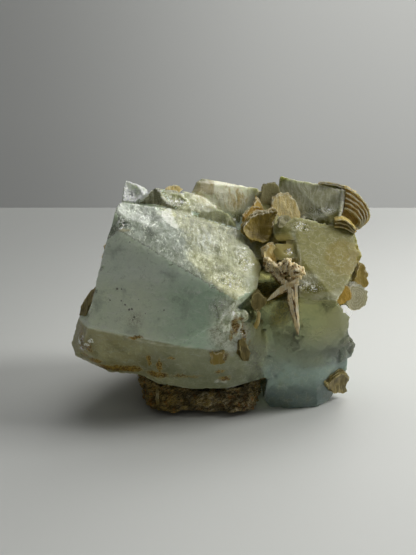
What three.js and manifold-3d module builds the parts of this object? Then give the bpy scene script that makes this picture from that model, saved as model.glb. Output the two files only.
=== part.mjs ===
// Aquamarine with muscovite: a hand specimen of intergrown beryl crystals that carries books of
// muscovite mica and stands on a remnant of its dark, mica-rich host rock.
//
// Millimetres, +Z up. The origin lies on the surface that the specimen stands on, under its middle,
// and -Y faces the side with the broad blue prism face. Every crystal is given by its corners, all
// crystals are fused into one solid, and each mica book is a separate piece seated against it.
import * as THREE from "three";
import { ConvexGeometry } from "three/addons/geometries/ConvexGeometry.js";
import { mergeVertices } from "three/addons/utils/BufferGeometryUtils.js";
import Module from "manifold-3d";

const wasm = await Module();
wasm.setup();

// ---------------------------------------------------------------- driving dimensions

const SEAT_GAP = 0.3; // left between a mica book, or the host rock, and the crystals that hold it
const BASE_LEVEL = 0; // the specimen stands on this level
const SHEET = 0.55; // a packet of cleavage sheets within a mica book
const SHEET_BITE = 0.06; // how far neighbouring packets run into each other
const CHIP = 1.5; // radius of a typical chip broken from a crystal edge
const MERGE = 1e-4; // corners closer than this are one corner

const BLUE_GREEN = "#8fa39a";
const GOLDEN_MICA = "#9a7b3c";
const BROWN_MICA = "#5d451c";
const PALE_MICA = "#b9a77c";
const TAN = "#b08e62";
const HOST_BROWN = "#3d3222";

// ---------------------------------------------------------------- solids and small tools

// A repeatable stream of numbers from 0 to 1.
function randomFrom(seed) {
  let state = seed;
  return () => {
    state = (state + 0x6d2b79f5) | 0;
    let t = Math.imul(state ^ (state >>> 15), 1 | state);
    t = (t + Math.imul(t ^ (t >>> 7), 61 | t)) ^ t;
    return ((t ^ (t >>> 14)) >>> 0) / 4294967296;
  };
}

const between = (random, low, high) => low + (high - low) * random();

function solidFrom(geometry) {
  const bare = geometry.index ? geometry.toNonIndexed() : geometry.clone();
  bare.deleteAttribute("normal");
  bare.deleteAttribute("uv");
  const merged = mergeVertices(bare, MERGE);
  return new wasm.Manifold(
    new wasm.Mesh({
      numProp: 3,
      vertProperties: merged.attributes.position.array,
      triVerts: new Uint32Array(merged.index.array),
    }),
  );
}

// The corners of a solid, three numbers to a corner.
function cornerArray(solid) {
  const mesh = solid.getMesh();
  const corners = new Float32Array(mesh.numVert * 3);
  for (let i = 0; i < mesh.numVert; i++) {
    const start = i * mesh.numProp;
    corners.set(mesh.vertProperties.subarray(start, start + 3), i * 3);
  }
  return corners;
}

function geometryFrom(solid) {
  const geometry = new THREE.BufferGeometry();
  geometry.setAttribute("position", new THREE.BufferAttribute(cornerArray(solid), 3));
  geometry.setIndex(new THREE.BufferAttribute(solid.getMesh().triVerts, 1));
  geometry.computeVertexNormals();
  return geometry;
}

const vectors = (corners) => corners.map((corner) => new THREE.Vector3(...corner));

const hull = (corners) => solidFrom(new ConvexGeometry(vectors(corners)));

const union = (solids) => wasm.Manifold.union(solids);

// The hull of some points with room for a gap all round: each point becomes the twelve corners of
// an icosahedron that a ball of the gap's radius fits into.
function roomAround(points, gap) {
  const ball = new THREE.IcosahedronGeometry(gap / 0.795, 0).getAttribute("position");
  const cloud = [];
  const step = new THREE.Vector3();
  for (const point of points) {
    for (let i = 0; i < ball.count; i++) {
      cloud.push(step.fromBufferAttribute(ball, i).add(point).clone());
    }
  }
  return solidFrom(new ConvexGeometry(cloud));
}

function roomAroundSolid(solid, gap) {
  const corners = cornerArray(solid);
  const points = [];
  for (let i = 0; i < corners.length; i += 3) {
    points.push(new THREE.Vector3().fromArray(corners, i));
  }
  return roomAround(points, gap);
}

// The largest body of a solid that a cut may have left in several.
function largestBody(solid) {
  return solid.decompose().reduce((best, body) => (body.volume() > best.volume() ? body : best));
}

// ---------------------------------------------------------------- crystals, given by their corners

// The main prism: the broad face towards -Y, the frosted crown that slopes up and back from it,
// and the bevelled corner at the upper left.
const MAIN_PRISM = [
  [-29.6, -18.5, 53.7], [-33.7, -22.1, 40.0], [-36.7, -24.0, 26.8], // left end of the broad face
  [-22.2, -26.6, 24.0], [-11.0, -28.3, 23.4], [-1.2, -28.6, 29.0], // its lower edge
  [-27.2, -19.8, 50.8], [3.6, -27.0, 35.3], // its upper edge
  [9.5, -21.0, 36.4], [11.2, -13.0, 40.4], // the tip over the pocket
  [-29.4, -16.0, 55.4], [-28.2, -12.0, 58.6], [-25.8, -8.5, 57.4], // the bevelled corner
  [-13.1, -3.4, 54.2], [4.8, -3.2, 48.2], // upper edge of the crown
  [-27.0, 8.0, 50.0], [-33.0, 4.0, 26.0], [7.0, 6.0, 44.0], [8.0, 4.0, 22.0], // the hidden back
];

// A second crystal under the main one. It reaches further left and its face leans inwards.
const LOWER_PRISM_LEFT = [
  [-36.4, -23.6, 27.1], [-38.0, -22.6, 20.8], [-35.3, -20.6, 14.8], // edge of its left side
  [-40.2, -17.0, 26.2], [-42.7, -15.5, 18.2], [-41.8, -16.0, 14.6], [-37.0, -8.0, 30.0],
  [-31.7, -18.4, 10.4], [-22.6, -20.2, 10.6], [-22.0, -25.6, 24.6],
  [-39.0, -2.0, 22.0], [-34.0, 2.0, 13.0], [-22.0, 2.0, 11.5], [-22.0, 2.0, 30.0],
];
const LOWER_PRISM_RIGHT = [
  [-23.0, -25.4, 25.6], [-23.4, -20.0, 10.6], [-17.2, -21.8, 8.2], [-7.5, -22.4, 7.0],
  [2.0, -22.2, 7.2], [12.2, -20.6, 9.8], [-9.5, -27.2, 24.0], [-1.0, -27.0, 29.0],
  [8.2, -21.4, 26.5], [13.0, -19.8, 20.0],
  [-24.0, 6.0, 10.0], [-24.0, 6.0, 28.0], [12.0, 6.0, 28.0], [12.0, 6.0, 8.0],
];

// The right-hand crystal: a greenish face that slopes up and back, above a steep lower body.
const RIGHT_PRISM = [
  [19.6, -3.0, 51.2], [21.8, -2.0, 51.7], [38.6, 0.4, 47.6], // upper edge
  [40.4, -6.4, 41.4], [38.9, -9.0, 39.9], [35.1, -15.0, 36.1], // right edge
  [31.2, -21.6, 33.0], [20.9, -21.8, 33.5], // lower edge
  [20.8, -9.2, 46.2], [21.6, -13.4, 43.2], [19.4, -14.0, 34.0], [18.6, -5.0, 40.0], // left edge
  [14.0, 12.0, 47.0], [36.6, 12.0, 45.0], [36.0, 10.0, 24.0], [14.0, 10.0, 24.0],
];
const RIGHT_BODY = [
  [20.6, -21.4, 32.8], [31.4, -21.4, 32.3], [35.9, -17.0, 26.6], [34.8, -16.8, 22.2],
  [36.0, -15.6, 15.0], [36.4, -13.8, 9.0], [21.3, -23.8, 22.7], [21.7, -22.8, 12.0],
  [13.2, -20.4, 12.0], [10.6, -17.6, 20.0], [9.6, -11.0, 30.0],
  [34.0, 10.0, 8.0], [35.0, 10.0, 30.0], [8.0, 10.0, 8.0], [8.0, 10.0, 30.0],
];
// Rounded bulge half-way down the right-hand edge.
const RIGHT_BULGE = [
  [33.0, -17.6, 21.8], [37.2, -15.4, 19.8], [38.5, -14.3, 17.2], [37.6, -14.2, 13.6],
  [34.0, -17.2, 12.8], [33.6, -9.0, 22.0], [36.6, -7.0, 18.0], [33.6, -9.0, 12.0],
];
// The palest blue crystal at the lower right, which reaches the surface below.
const BLUE_FOOT = [
  [12.8, -21.0, 9.0], [17.6, -22.8, 14.4], [25.6, -22.6, 16.2], [30.6, -19.4, 16.0],
  [36.6, -13.0, 9.4], [35.0, -11.6, 3.4], [31.4, -15.2, BASE_LEVEL], [27.6, -19.2, BASE_LEVEL],
  [20.6, -20.3, BASE_LEVEL], [13.8, -19.3, BASE_LEVEL], [12.0, -19.4, 3.0],
  [32.0, 8.0, BASE_LEVEL], [35.0, 8.0, 8.0], [12.0, 10.0, BASE_LEVEL], [12.0, 10.0, 16.0],
  [32.0, 6.0, 16.0],
];

// Crystals along the top, from left to right.
const CLEAR_TIP = [
  [-28.7, 2.0, 56.8], [-28.0, 4.0, 61.2], [-26.0, 4.0, 60.8], [-25.2, 1.6, 59.3],
  [-24.7, -0.6, 56.5], [-28.6, -0.6, 56.0], [-26.6, 9.0, 59.0], [-25.0, 9.0, 58.0],
  [-28.0, 9.0, 48.0], [-23.5, 8.0, 47.0], [-28.0, 0.0, 50.0], [-24.0, 0.0, 50.0],
];
const CLEAR_TIP_SHOULDER = [
  [-25.4, 4.6, 60.3], [-22.1, 5.0, 58.8], [-22.8, 0.0, 56.6], [-25.4, 0.2, 56.8],
  [-21.8, 9.0, 57.2], [-25.4, 9.0, 58.0], [-25.4, 2.0, 47.0], [-21.0, 4.0, 47.0],
];
const DARK_WEDGE = [
  [-23.6, -2.0, 56.3], [-22.0, 0.0, 57.9], [-18.9, 1.8, 59.4], [-16.4, -1.4, 56.2],
  [-13.0, -3.0, 54.1], [-15.0, 7.0, 58.0], [-22.0, 7.0, 56.6], [-22.0, 0.0, 46.0],
  [-12.0, 2.0, 46.0],
];
// Glassy ridges that step down to the right, one behind the other.
const GLASSY_STEP_FRONT = [
  [-17.0, 1.8, 58.6], [-14.2, -1.4, 56.0], [-12.2, -3.2, 54.0], [-8.2, -3.0, 52.2],
  [-9.4, 1.2, 55.8], [-12.4, 4.2, 58.2], [-16.4, 4.4, 58.8], [-13.0, 2.0, 46.0],
  [-8.0, 2.0, 46.0],
];
const GLASSY_STEP_MIDDLE = [
  [-11.4, 4.8, 58.1], [-5.8, 4.6, 56.3], [-1.6, 3.0, 53.6], [-5.4, 0.4, 53.2],
  [-9.4, 0.0, 54.6], [-10.0, 9.0, 56.0], [-2.0, 9.0, 53.0], [-10.0, 2.0, 46.0],
  [-2.0, 2.0, 46.0],
];
const GREY_BLOCK = [
  [-6.8, -2.4, 52.0], [-5.2, 0.6, 54.1], [-1.5, 0.6, 53.9], [1.4, 0.0, 52.8], [4.5, -2.8, 48.6],
  [4.2, 2.0, 49.6], [-5.0, 3.4, 53.0], [-6.0, 2.0, 45.0], [4.0, 2.0, 45.0],
];
const BACK_BLOCK = [
  [-8.6, 6.6, 57.4], [-7.4, 8.8, 59.7], [-5.8, 11.8, 60.3], [-1.7, 11.0, 59.8], [3.2, 10.0, 58.7],
  [11.0, 8.4, 57.9], [5.6, 1.4, 48.8], [8.6, 3.0, 50.8], [11.8, 6.0, 52.0], [-2.2, 6.0, 56.8],
  [-6.0, 20.0, 55.0], [12.0, 19.0, 53.4], [-8.0, 20.0, 40.0], [12.0, 18.0, 38.0],
  [-8.0, 8.0, 46.0],
];
const TOP_PRISM = [
  [17.2, 10.0, 59.0], [20.5, 10.0, 60.5], [27.5, 9.0, 59.5], [35.9, 7.0, 57.4], // upper edge
  [37.7, 8.0, 57.4], [35.0, 1.6, 50.6], [32.4, -0.4, 49.6], // narrow right-hand end
  [27.1, 2.0, 50.5], [20.0, 4.0, 51.0], [16.6, 6.6, 54.6], // lower edge
  [19.0, 18.0, 56.4], [36.8, 16.4, 53.0], [35.0, 14.0, 45.0], [18.0, 14.0, 44.0],
];
const TOP_PRISM_FIN = [
  [17.5, 10.2, 61.3], [18.6, 10.2, 61.2], [24.0, 10.2, 59.6], [17.6, 10.2, 58.6],
  [17.6, 12.6, 60.0], [18.6, 12.6, 60.0], [24.0, 12.6, 58.0], [17.6, 12.6, 56.0],
];
// Two small crystals, one above the other, at the left of the greenish face.
const UPPER_KNOB = [
  [15.2, -4.6, 50.6], [19.2, -3.2, 51.0], [21.0, -6.4, 48.6], [20.6, -8.6, 46.6],
  [15.6, -8.2, 46.4], [14.4, -5.8, 48.6], [18.0, 0.0, 50.0], [18.0, -2.0, 44.0],
  [15.0, -2.0, 46.0], [21.0, -4.0, 44.0],
];
const LOWER_KNOB = [
  [15.2, -8.4, 45.8], [20.2, -9.0, 45.8], [21.0, -12.8, 42.8], [17.6, -13.8, 42.0],
  [15.0, -12.2, 42.2], [14.2, -9.8, 44.2], [16.0, -6.0, 40.0], [20.6, -8.0, 39.0],
];

// The broken ground between the top crystals, which the mica of the middle stands on.
const MIDDLE_GROUND = [
  [4.8, -3.6, 46.0], [6.2, -0.6, 50.0], [8.2, 3.0, 53.2], [13.2, 3.8, 53.4], [17.4, 3.4, 52.2],
  [16.5, -2.8, 49.6], [15.5, -6.8, 45.0], [11.2, -9.9, 41.2], [6.0, 8.0, 52.4], [17.0, 9.0, 55.0],
  [6.0, 2.0, 40.0], [17.0, 2.0, 40.0],
];
const MIDDLE_CREST = [
  [11.4, 8.6, 56.2], [12.8, 8.4, 58.2], [15.8, 8.6, 58.5], [17.6, 9.2, 57.0], [12.0, 5.4, 52.0],
  [17.6, 5.0, 52.0], [11.6, 17.0, 54.4], [17.6, 16.6, 55.0], [11.4, 12.0, 46.0], [17.6, 12.0, 46.0],
];

// What fills the specimen behind the crystals above.
const BACK_LEFT = [
  [-31.0, 2.0, 44.0], [-30.0, 12.0, 46.0], [-27.0, 18.0, 28.0], [-34.5, 11.0, 24.0],
  [-35.0, 3.0, 26.0], [-8.0, 2.0, 50.0], [-5.0, 14.0, 49.0], [-4.0, 20.0, 26.0],
  [-8.0, 16.0, 13.0], [-30.0, 10.0, 14.0], [-22.0, 2.0, 12.0], [-2.0, 2.0, 12.0],
];
const BACK_RIGHT = [
  [4.0, 8.0, 52.0], [32.0, 9.0, 49.0], [34.0, 17.0, 41.0], [33.0, 19.0, 28.0],
  [30.0, 17.0, 12.0], [2.0, 19.0, 46.0], [2.0, 20.0, 20.0], [6.0, 15.0, 8.0],
  [32.0, 8.0, 8.0], [2.0, 2.0, 8.0],
];
const BACK_FOOT = [
  [-20.0, -4.0, 8.0], [-22.0, 12.0, 10.0], [-10.0, 17.0, 9.0], [20.0, 16.0, BASE_LEVEL],
  [30.0, 12.0, BASE_LEVEL], [33.0, 10.0, 12.0], [16.0, 19.0, 14.0], [-14.0, 18.0, 18.0],
  [12.0, -6.0, BASE_LEVEL], [12.0, 14.0, BASE_LEVEL], [10.0, -4.0, 16.0],
];

const CRYSTALS = [
  MAIN_PRISM, LOWER_PRISM_LEFT, LOWER_PRISM_RIGHT, RIGHT_PRISM, RIGHT_BODY, RIGHT_BULGE, BLUE_FOOT,
  CLEAR_TIP, CLEAR_TIP_SHOULDER, DARK_WEDGE, GLASSY_STEP_FRONT, GLASSY_STEP_MIDDLE, GREY_BLOCK,
  BACK_BLOCK, TOP_PRISM, TOP_PRISM_FIN, UPPER_KNOB, LOWER_KNOB, MIDDLE_GROUND, MIDDLE_CREST,
  BACK_LEFT, BACK_RIGHT, BACK_FOOT,
];

// Six-sided prisms across the back. They stand parallel to the main prism, whose length runs down
// to the right, and `roll` turns each one about its own length.
const BACK_PRISMS = [
  { from: [-28.0, 12.0, 41.0], to: [4.0, 13.0, 23.0], radius: 10.5, roll: 12 },
  { from: [-8.0, 14.0, 46.0], to: [30.0, 11.5, 29.0], radius: 9.5, roll: 40 },
  { from: [-16.0, 13.0, 24.0], to: [24.0, 11.0, 11.0], radius: 8.5, roll: 20 },
];

function hexagonalPrism({ from, to, radius, roll }) {
  const [start, end] = vectors([from, to]);
  const length = end.clone().sub(start).normalize();
  const side = new THREE.Vector3(0, 1, 0).cross(length).normalize();
  const corners = [];
  for (let i = 0; i < 6; i++) {
    const turn = THREE.MathUtils.degToRad(roll + 60 * i);
    const reach = side.clone().applyAxisAngle(length, turn).multiplyScalar(radius);
    corners.push(start.clone().add(reach));
    corners.push(end.clone().add(reach));
  }
  return corners.map((corner) => corner.toArray());
}

CRYSTALS.push(...BACK_PRISMS.map(hexagonalPrism));

// ---------------------------------------------------------------- breaks, chips and splinters

// A lump with flat sides, to break from an edge or to stand out from a face.
function lump(centre, radius, random) {
  const shape = new THREE.IcosahedronGeometry(radius, 0);
  shape.scale(between(random, 0.7, 1.3), between(random, 0.7, 1.3), 1);
  shape.rotateX(between(random, 0, Math.PI));
  shape.rotateZ(between(random, 0, Math.PI));
  shape.translate(...centre);
  return solidFrom(shape);
}

// Chips along the edge from one corner to another. `out` points away from the crystal.
function edgeChips(from, to, out, count, radius, seed) {
  const random = randomFrom(seed);
  const [start, end] = vectors([from, to]);
  const away = new THREE.Vector3(...out).normalize();
  const chips = [];
  for (let i = 0; i < count; i++) {
    const size = radius * between(random, 0.6, 1.3);
    const along = (i + between(random, 0.1, 0.9)) / count;
    const centre = start.clone().lerp(end, along).addScaledVector(away, size * 0.6);
    chips.push(lump(centre.toArray(), size, random));
  }
  return chips;
}

// Splinters that stand out of a broken face, which is given by a middle and two half-widths.
function splinters(middle, across, down, out, count, radius, seed) {
  const random = randomFrom(seed);
  const away = new THREE.Vector3(...out).normalize();
  const pieces = [];
  for (let i = 0; i < count; i++) {
    const size = radius * between(random, 0.55, 1.15);
    const centre = new THREE.Vector3(...middle)
      .addScaledVector(new THREE.Vector3(...across), between(random, -1, 1))
      .addScaledVector(new THREE.Vector3(...down), between(random, -1, 1))
      .addScaledVector(away, -size * between(random, 0.5, 0.8));
    pieces.push(lump(centre.toArray(), size, random));
  }
  return pieces;
}

// A shell-shaped break: a shallow bite of a large sphere out of a face.
function shellBreak(at, out, radius, depth) {
  const shape = new THREE.SphereGeometry(radius, 18, 13);
  shape.rotateX(radius); // keeps the poles away from the face
  const centre = new THREE.Vector3(...out).normalize().multiplyScalar(radius - depth);
  centre.add(new THREE.Vector3(...at));
  shape.translate(centre.x, centre.y, centre.z);
  return solidFrom(shape);
}

const BREAKS = [
  shellBreak([-21.0, -11.0, 55.6], [0.25, -0.4, 0.9], 22, 1.3), // glassy hollow in the crown
  shellBreak([-29.4, -17.0, 53.6], [-0.7, -0.6, 0.5], 8, 0.9), // bevelled upper left corner
  shellBreak([-41.5, -19.5, 17.0], [-0.9, -0.4, -0.1], 7, 1.0), // left end of the lower prism
  shellBreak([39.6, -10.6, 36.0], [0.9, -0.35, 0.1], 6, 1.2), // right edge, above the bulge
  shellBreak([37.4, -14.6, 22.6], [0.95, -0.3, 0.0], 5, 1.5),
  shellBreak([37.9, -12.0, 10.4], [0.9, -0.4, 0.0], 5, 0.8),
  shellBreak([-25.6, 3.4, 59.4], [0.1, -0.9, 0.4], 5, 0.6), // ripples of the clear tip
  shellBreak([-12.0, 1.4, 57.2], [0.1, -0.7, 0.7], 7, 0.7), // and of the glassy steps
  shellBreak([-4.6, 2.6, 55.6], [0.2, -0.7, 0.7], 8, 0.6),
  shellBreak([-20.0, 22.0, 36.0], [-0.1, 0.98, 0.1], 24, 1.2), // at the back
  shellBreak([16.0, 22.0, 36.0], [0.2, 0.95, 0.2], 26, 1.2),
];

const CHIPS = [
  ...edgeChips([-27.2, -19.8, 50.8], [3.6, -27.0, 35.3], [0, -0.8, 0.6], 6, 0.9, 11),
  ...edgeChips([-29.0, -19.0, 53.5], [-36.7, -24.0, 26.8], [-0.9, -0.4, 0.1], 4, 0.9, 12),
  ...edgeChips([-36.0, -21.0, 14.6], [-22.6, -20.2, 10.6], [-0.2, -0.8, -0.6], 3, CHIP, 13),
  ...edgeChips([-25.8, -8.5, 57.4], [4.8, -3.2, 48.2], [0.1, 0.2, 1], 4, 1.1, 14),
  ...edgeChips([5.4, -3.0, 48.1], [11.2, -13.0, 40.4], [1, 0, 0.4], 4, CHIP, 15),
  ...edgeChips([9.5, -21.0, 36.4], [3.6, -27.0, 35.3], [0.6, -0.8, -0.2], 3, 1.2, 16),
  ...edgeChips([38.6, 0.4, 47.6], [38.9, -9.0, 39.9], [1, 0, 0.3], 4, CHIP, 17),
  ...edgeChips([38.7, -9.0, 39.9], [31.2, -21.6, 33.0], [0.9, -0.3, 0.1], 4, CHIP, 18),
  ...edgeChips([35.9, -17.0, 26.6], [36.0, -15.6, 15.0], [0.9, -0.4, 0], 4, CHIP, 19),
  ...edgeChips([31.2, -21.6, 33.0], [20.9, -21.8, 33.5], [0, -0.8, 0.5], 3, 1.0, 20),
  ...edgeChips([31.4, -15.2, 0.0], [35.0, -11.6, 3.4], [0.7, -0.5, -0.4], 3, 1.1, 21),
  ...edgeChips([17.6, -22.8, 14.4], [30.6, -19.4, 16.0], [0, -0.8, 0.6], 3, 0.9, 23),
  ...edgeChips([-7.4, 8.8, 59.7], [11.0, 8.4, 57.9], [0, -0.5, 1], 4, 0.9, 24),
  ...edgeChips([20.5, 10.0, 60.5], [35.9, 7.0, 57.4], [0, -0.2, 1], 3, 0.6, 25),
  ...edgeChips([32.4, -0.4, 49.6], [23.2, 2.6, 50.4], [0, -1, -0.3], 4, 1.1, 26),
  ...edgeChips([-18.9, 1.8, 59.4], [-13.0, -3.0, 54.1], [0.2, -0.5, 1], 3, 0.7, 27),
];

const SPLINTERS = [
  // The crushed seam between the main prism and the right-hand crystal.
  ...splinters([2.6, -25.8, 27.6], [4.2, 1.4, 0], [1.0, 0.6, -5.0], [0.3, -1, 0.1], 12, 2.1, 41),
  ...splinters([9.6, -20.6, 21.0], [2.4, 1.6, 0], [0, 0, -5.0], [0.1, -1, 0], 6, 1.9, 42),
  // Broken ground under the top prism and round the mica in the middle.
  ...splinters([28.0, 0.6, 50.2], [6.5, 0.4, -0.4], [0, -0.6, -0.6], [0, -0.6, 0.8], 7, 1.4, 43),
  ...splinters([11.0, -1.6, 49.4], [3.2, 0, 0], [0, -2.4, -2.4], [0, -0.6, 0.8], 5, 2.0, 44),
  // The ragged right-hand edge.
  ...splinters([37.4, -9.4, 35.6], [0.6, -1.8, -0.5], [0, -2.0, -4.0], [0.9, -0.4, 0], 5, 1.5, 45),
  ...splinters([35.4, -15.4, 20.0], [0.6, -0.8, 0], [0, 0, -7.0], [0.9, -0.5, 0], 5, 1.6, 46),
  // The back.
  ...splinters([-1.0, 19.6, 34.0], [3.0, 0, 0], [0, 0, -8.0], [0, 1, 0.1], 5, 2.6, 47),
  ...splinters([-34.6, 6.0, 27.0], [0, 5.0, 0], [0, 0, -6.0], [-1, 0.1, 0], 4, 2.4, 48),
];

function fuseCrystals() {
  const whole = union([...CRYSTALS.map(hull), ...SPLINTERS]);
  const broken = whole.subtract(union([...BREAKS, ...CHIPS]));
  const below = new THREE.BoxGeometry(200, 200, 40);
  below.translate(0, 0, BASE_LEVEL - 20);
  return largestBody(broken.subtract(solidFrom(below)));
}

// ---------------------------------------------------------------- muscovite

// A flake of mica: packets of sheets, one in front of the other. The outline is given as [x, z]
// pairs from the middle `at`, seen along Y. `slope` is how far the sheet falls back (+Y) for each
// step in x and in z, and `turn` swings the finished flake round the vertical, in degrees.
function flake(sizes) {
  const { at, outline, slope = [0, 0], turn = 0, packets = 2, seed } = sizes;
  const { sheet = SHEET, ragged = 0.1 } = sizes;
  const random = randomFrom(seed);
  const solids = [];
  for (let i = 0; i < packets; i++) {
    const size = 1 - 0.07 * i;
    const edge = new THREE.Shape(
      outline.map(([x, z]) => {
        const reach = size * between(random, 1 - ragged, 1);
        return new THREE.Vector2(x * reach, z * reach);
      }),
    );
    const plate = new THREE.ExtrudeGeometry(edge, { depth: sheet + SHEET_BITE, bevelEnabled: false });
    plate.rotateX(Math.PI / 2); // the outline now stands upright and its depth runs towards -Y
    plate.translate(0, -sheet * (i - packets / 2), 0);
    const lean = new THREE.Matrix4().set(
      1, 0, 0, 0,
      slope[0], 1, slope[1], 0,
      0, 0, 1, 0,
      0, 0, 0, 1,
    );
    plate.applyMatrix4(lean);
    plate.rotateZ(THREE.MathUtils.degToRad(turn));
    plate.translate(...at);
    solids.push(solidFrom(plate));
  }
  return solids;
}

// The bent book at the upper right. Seen along Y its sheets fan out from a hinge at the lower end
// and curl over to the left, round a hollow. Both edges of the fan are given as [x, z] pairs.
const CURL = {
  outer: [
    [29.0, 60.2], [32.6, 60.1], [36.1, 59.7], [38.9, 58.1], [41.4, 55.9], [43.4, 53.3],
    [44.2, 51.1], [43.7, 48.9], [42.5, 47.3], [40.6, 45.9],
  ],
  inner: [
    [31.0, 57.0], [33.4, 57.0], [36.2, 56.4], [38.0, 55.2], [39.2, 53.8], [40.2, 52.0],
    [40.5, 50.2], [40.2, 48.8], [39.6, 47.8], [38.6, 46.8],
  ],
  layers: 6,
  front: 4.0,
  back: 11.0,
  ledge: 0.8, // how far every other sheet stands back
  fall: -0.34, // the sheets drop towards the back
};

const CURL_HINGE = [36.6, 47.0];

function curlEdge(share) {
  return CURL.outer.map(([x, z], i) => [
    THREE.MathUtils.lerp(x, CURL.inner[i][0], share),
    THREE.MathUtils.lerp(z, CURL.inner[i][1], share),
  ]);
}

function curledSolid(outline, front) {
  const shape = new THREE.Shape(outline.map(([x, z]) => new THREE.Vector2(x, z)));
  const depth = CURL.back - front;
  const solid = new THREE.ExtrudeGeometry(shape, { depth, bevelEnabled: false });
  solid.rotateX(Math.PI / 2);
  solid.translate(0, CURL.back, 0);
  const fall = CURL.fall;
  const lean = new THREE.Matrix4().set(
    1, 0, 0, 0,
    0, 1, 0, 0,
    0, fall, 1, -fall * CURL.front,
    0, 0, 0, 1,
  );
  solid.applyMatrix4(lean);
  return solidFrom(solid);
}

function curledBook() {
  const solids = [];
  for (let i = 0; i < CURL.layers; i++) {
    const outside = curlEdge(i / CURL.layers);
    const inside = curlEdge((i + 1.08) / CURL.layers).reverse();
    const front = CURL.front + (i % 2 ? CURL.ledge : 0) - 0.15 * i;
    solids.push(curledSolid([...outside, ...inside], front));
  }
  // What closes the hollow, set well back from the sheet edges.
  solids.push(curledSolid([...curlEdge(0.98), CURL_HINGE, [31.0, 50.0]], CURL.front + 3.4));
  return solids;
}

// A thin blade: the edge of a mica sheet that stands out of the crystals. `out` is the way that it
// stands, and the blade tapers from its start to its end.
function blade(from, to, width, thickness, out, taper = 0.4) {
  const [start, end] = vectors([from, to]);
  const away = new THREE.Vector3(...out).normalize();
  const side = end.clone().sub(start).cross(away).normalize().multiplyScalar(thickness / 2);
  const deep = away.multiplyScalar(width);
  const corners = [];
  for (const [tip, share] of [[start, 1], [end, taper]]) {
    for (const sign of [-1, 1]) {
      const edge = tip.clone().addScaledVector(side, sign * share);
      corners.push(edge.toArray());
      corners.push(edge.clone().sub(deep).toArray());
    }
  }
  return hull(corners);
}

// The crumbly tan mass in the pocket: grains on a sheet of mica, with a blade that runs down to the
// left and a folded sheet that runs straight down.
const TAN_PATH = [
  [12.6, -13.0, 41.6], [14.6, -15.0, 41.0], [17.0, -17.4, 40.2], [19.2, -18.8, 41.2],
  [20.4, -19.8, 40.2],
];

function tanMass() {
  const random = randomFrom(81);
  const path = new THREE.CatmullRomCurve3(vectors(TAN_PATH));
  const grains = [];
  const count = 9;
  for (let i = 0; i < count; i++) {
    const centre = path.getPoint(i / (count - 1));
    centre.x += between(random, -0.5, 0.5);
    centre.z += between(random, -0.9, 1.1);
    centre.y += between(random, -0.6, 1.4);
    grains.push(lump(centre.toArray(), between(random, 1.4, 2.1), random));
  }
  return [
    ...grains,
    blade([11.8, -12.6, 41.0], [17.2, -21.2, 37.9], 5.0, 0.9, [-0.5, -0.5, 0.5], 1),
    blade([17.6, -21.0, 38.2], [12.6, -21.9, 33.4], 4.0, 1.5, [0.1, -0.9, 0.3], 0.5),
    blade([17.9, -21.6, 37.6], [20.4, -26.0, 25.8], 5.0, 1.4, [-0.4, -1, 0], 0.6),
    blade([20.0, -21.8, 38.4], [20.9, -25.8, 26.4], 5.0, 1.3, [0.4, -1, 0], 0.5),
    blade([18.9, -20.6, 37.6], [20.5, -24.8, 25.4], 3.5, 2.6, [0, -1, 0], 0.5),
  ];
}

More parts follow.
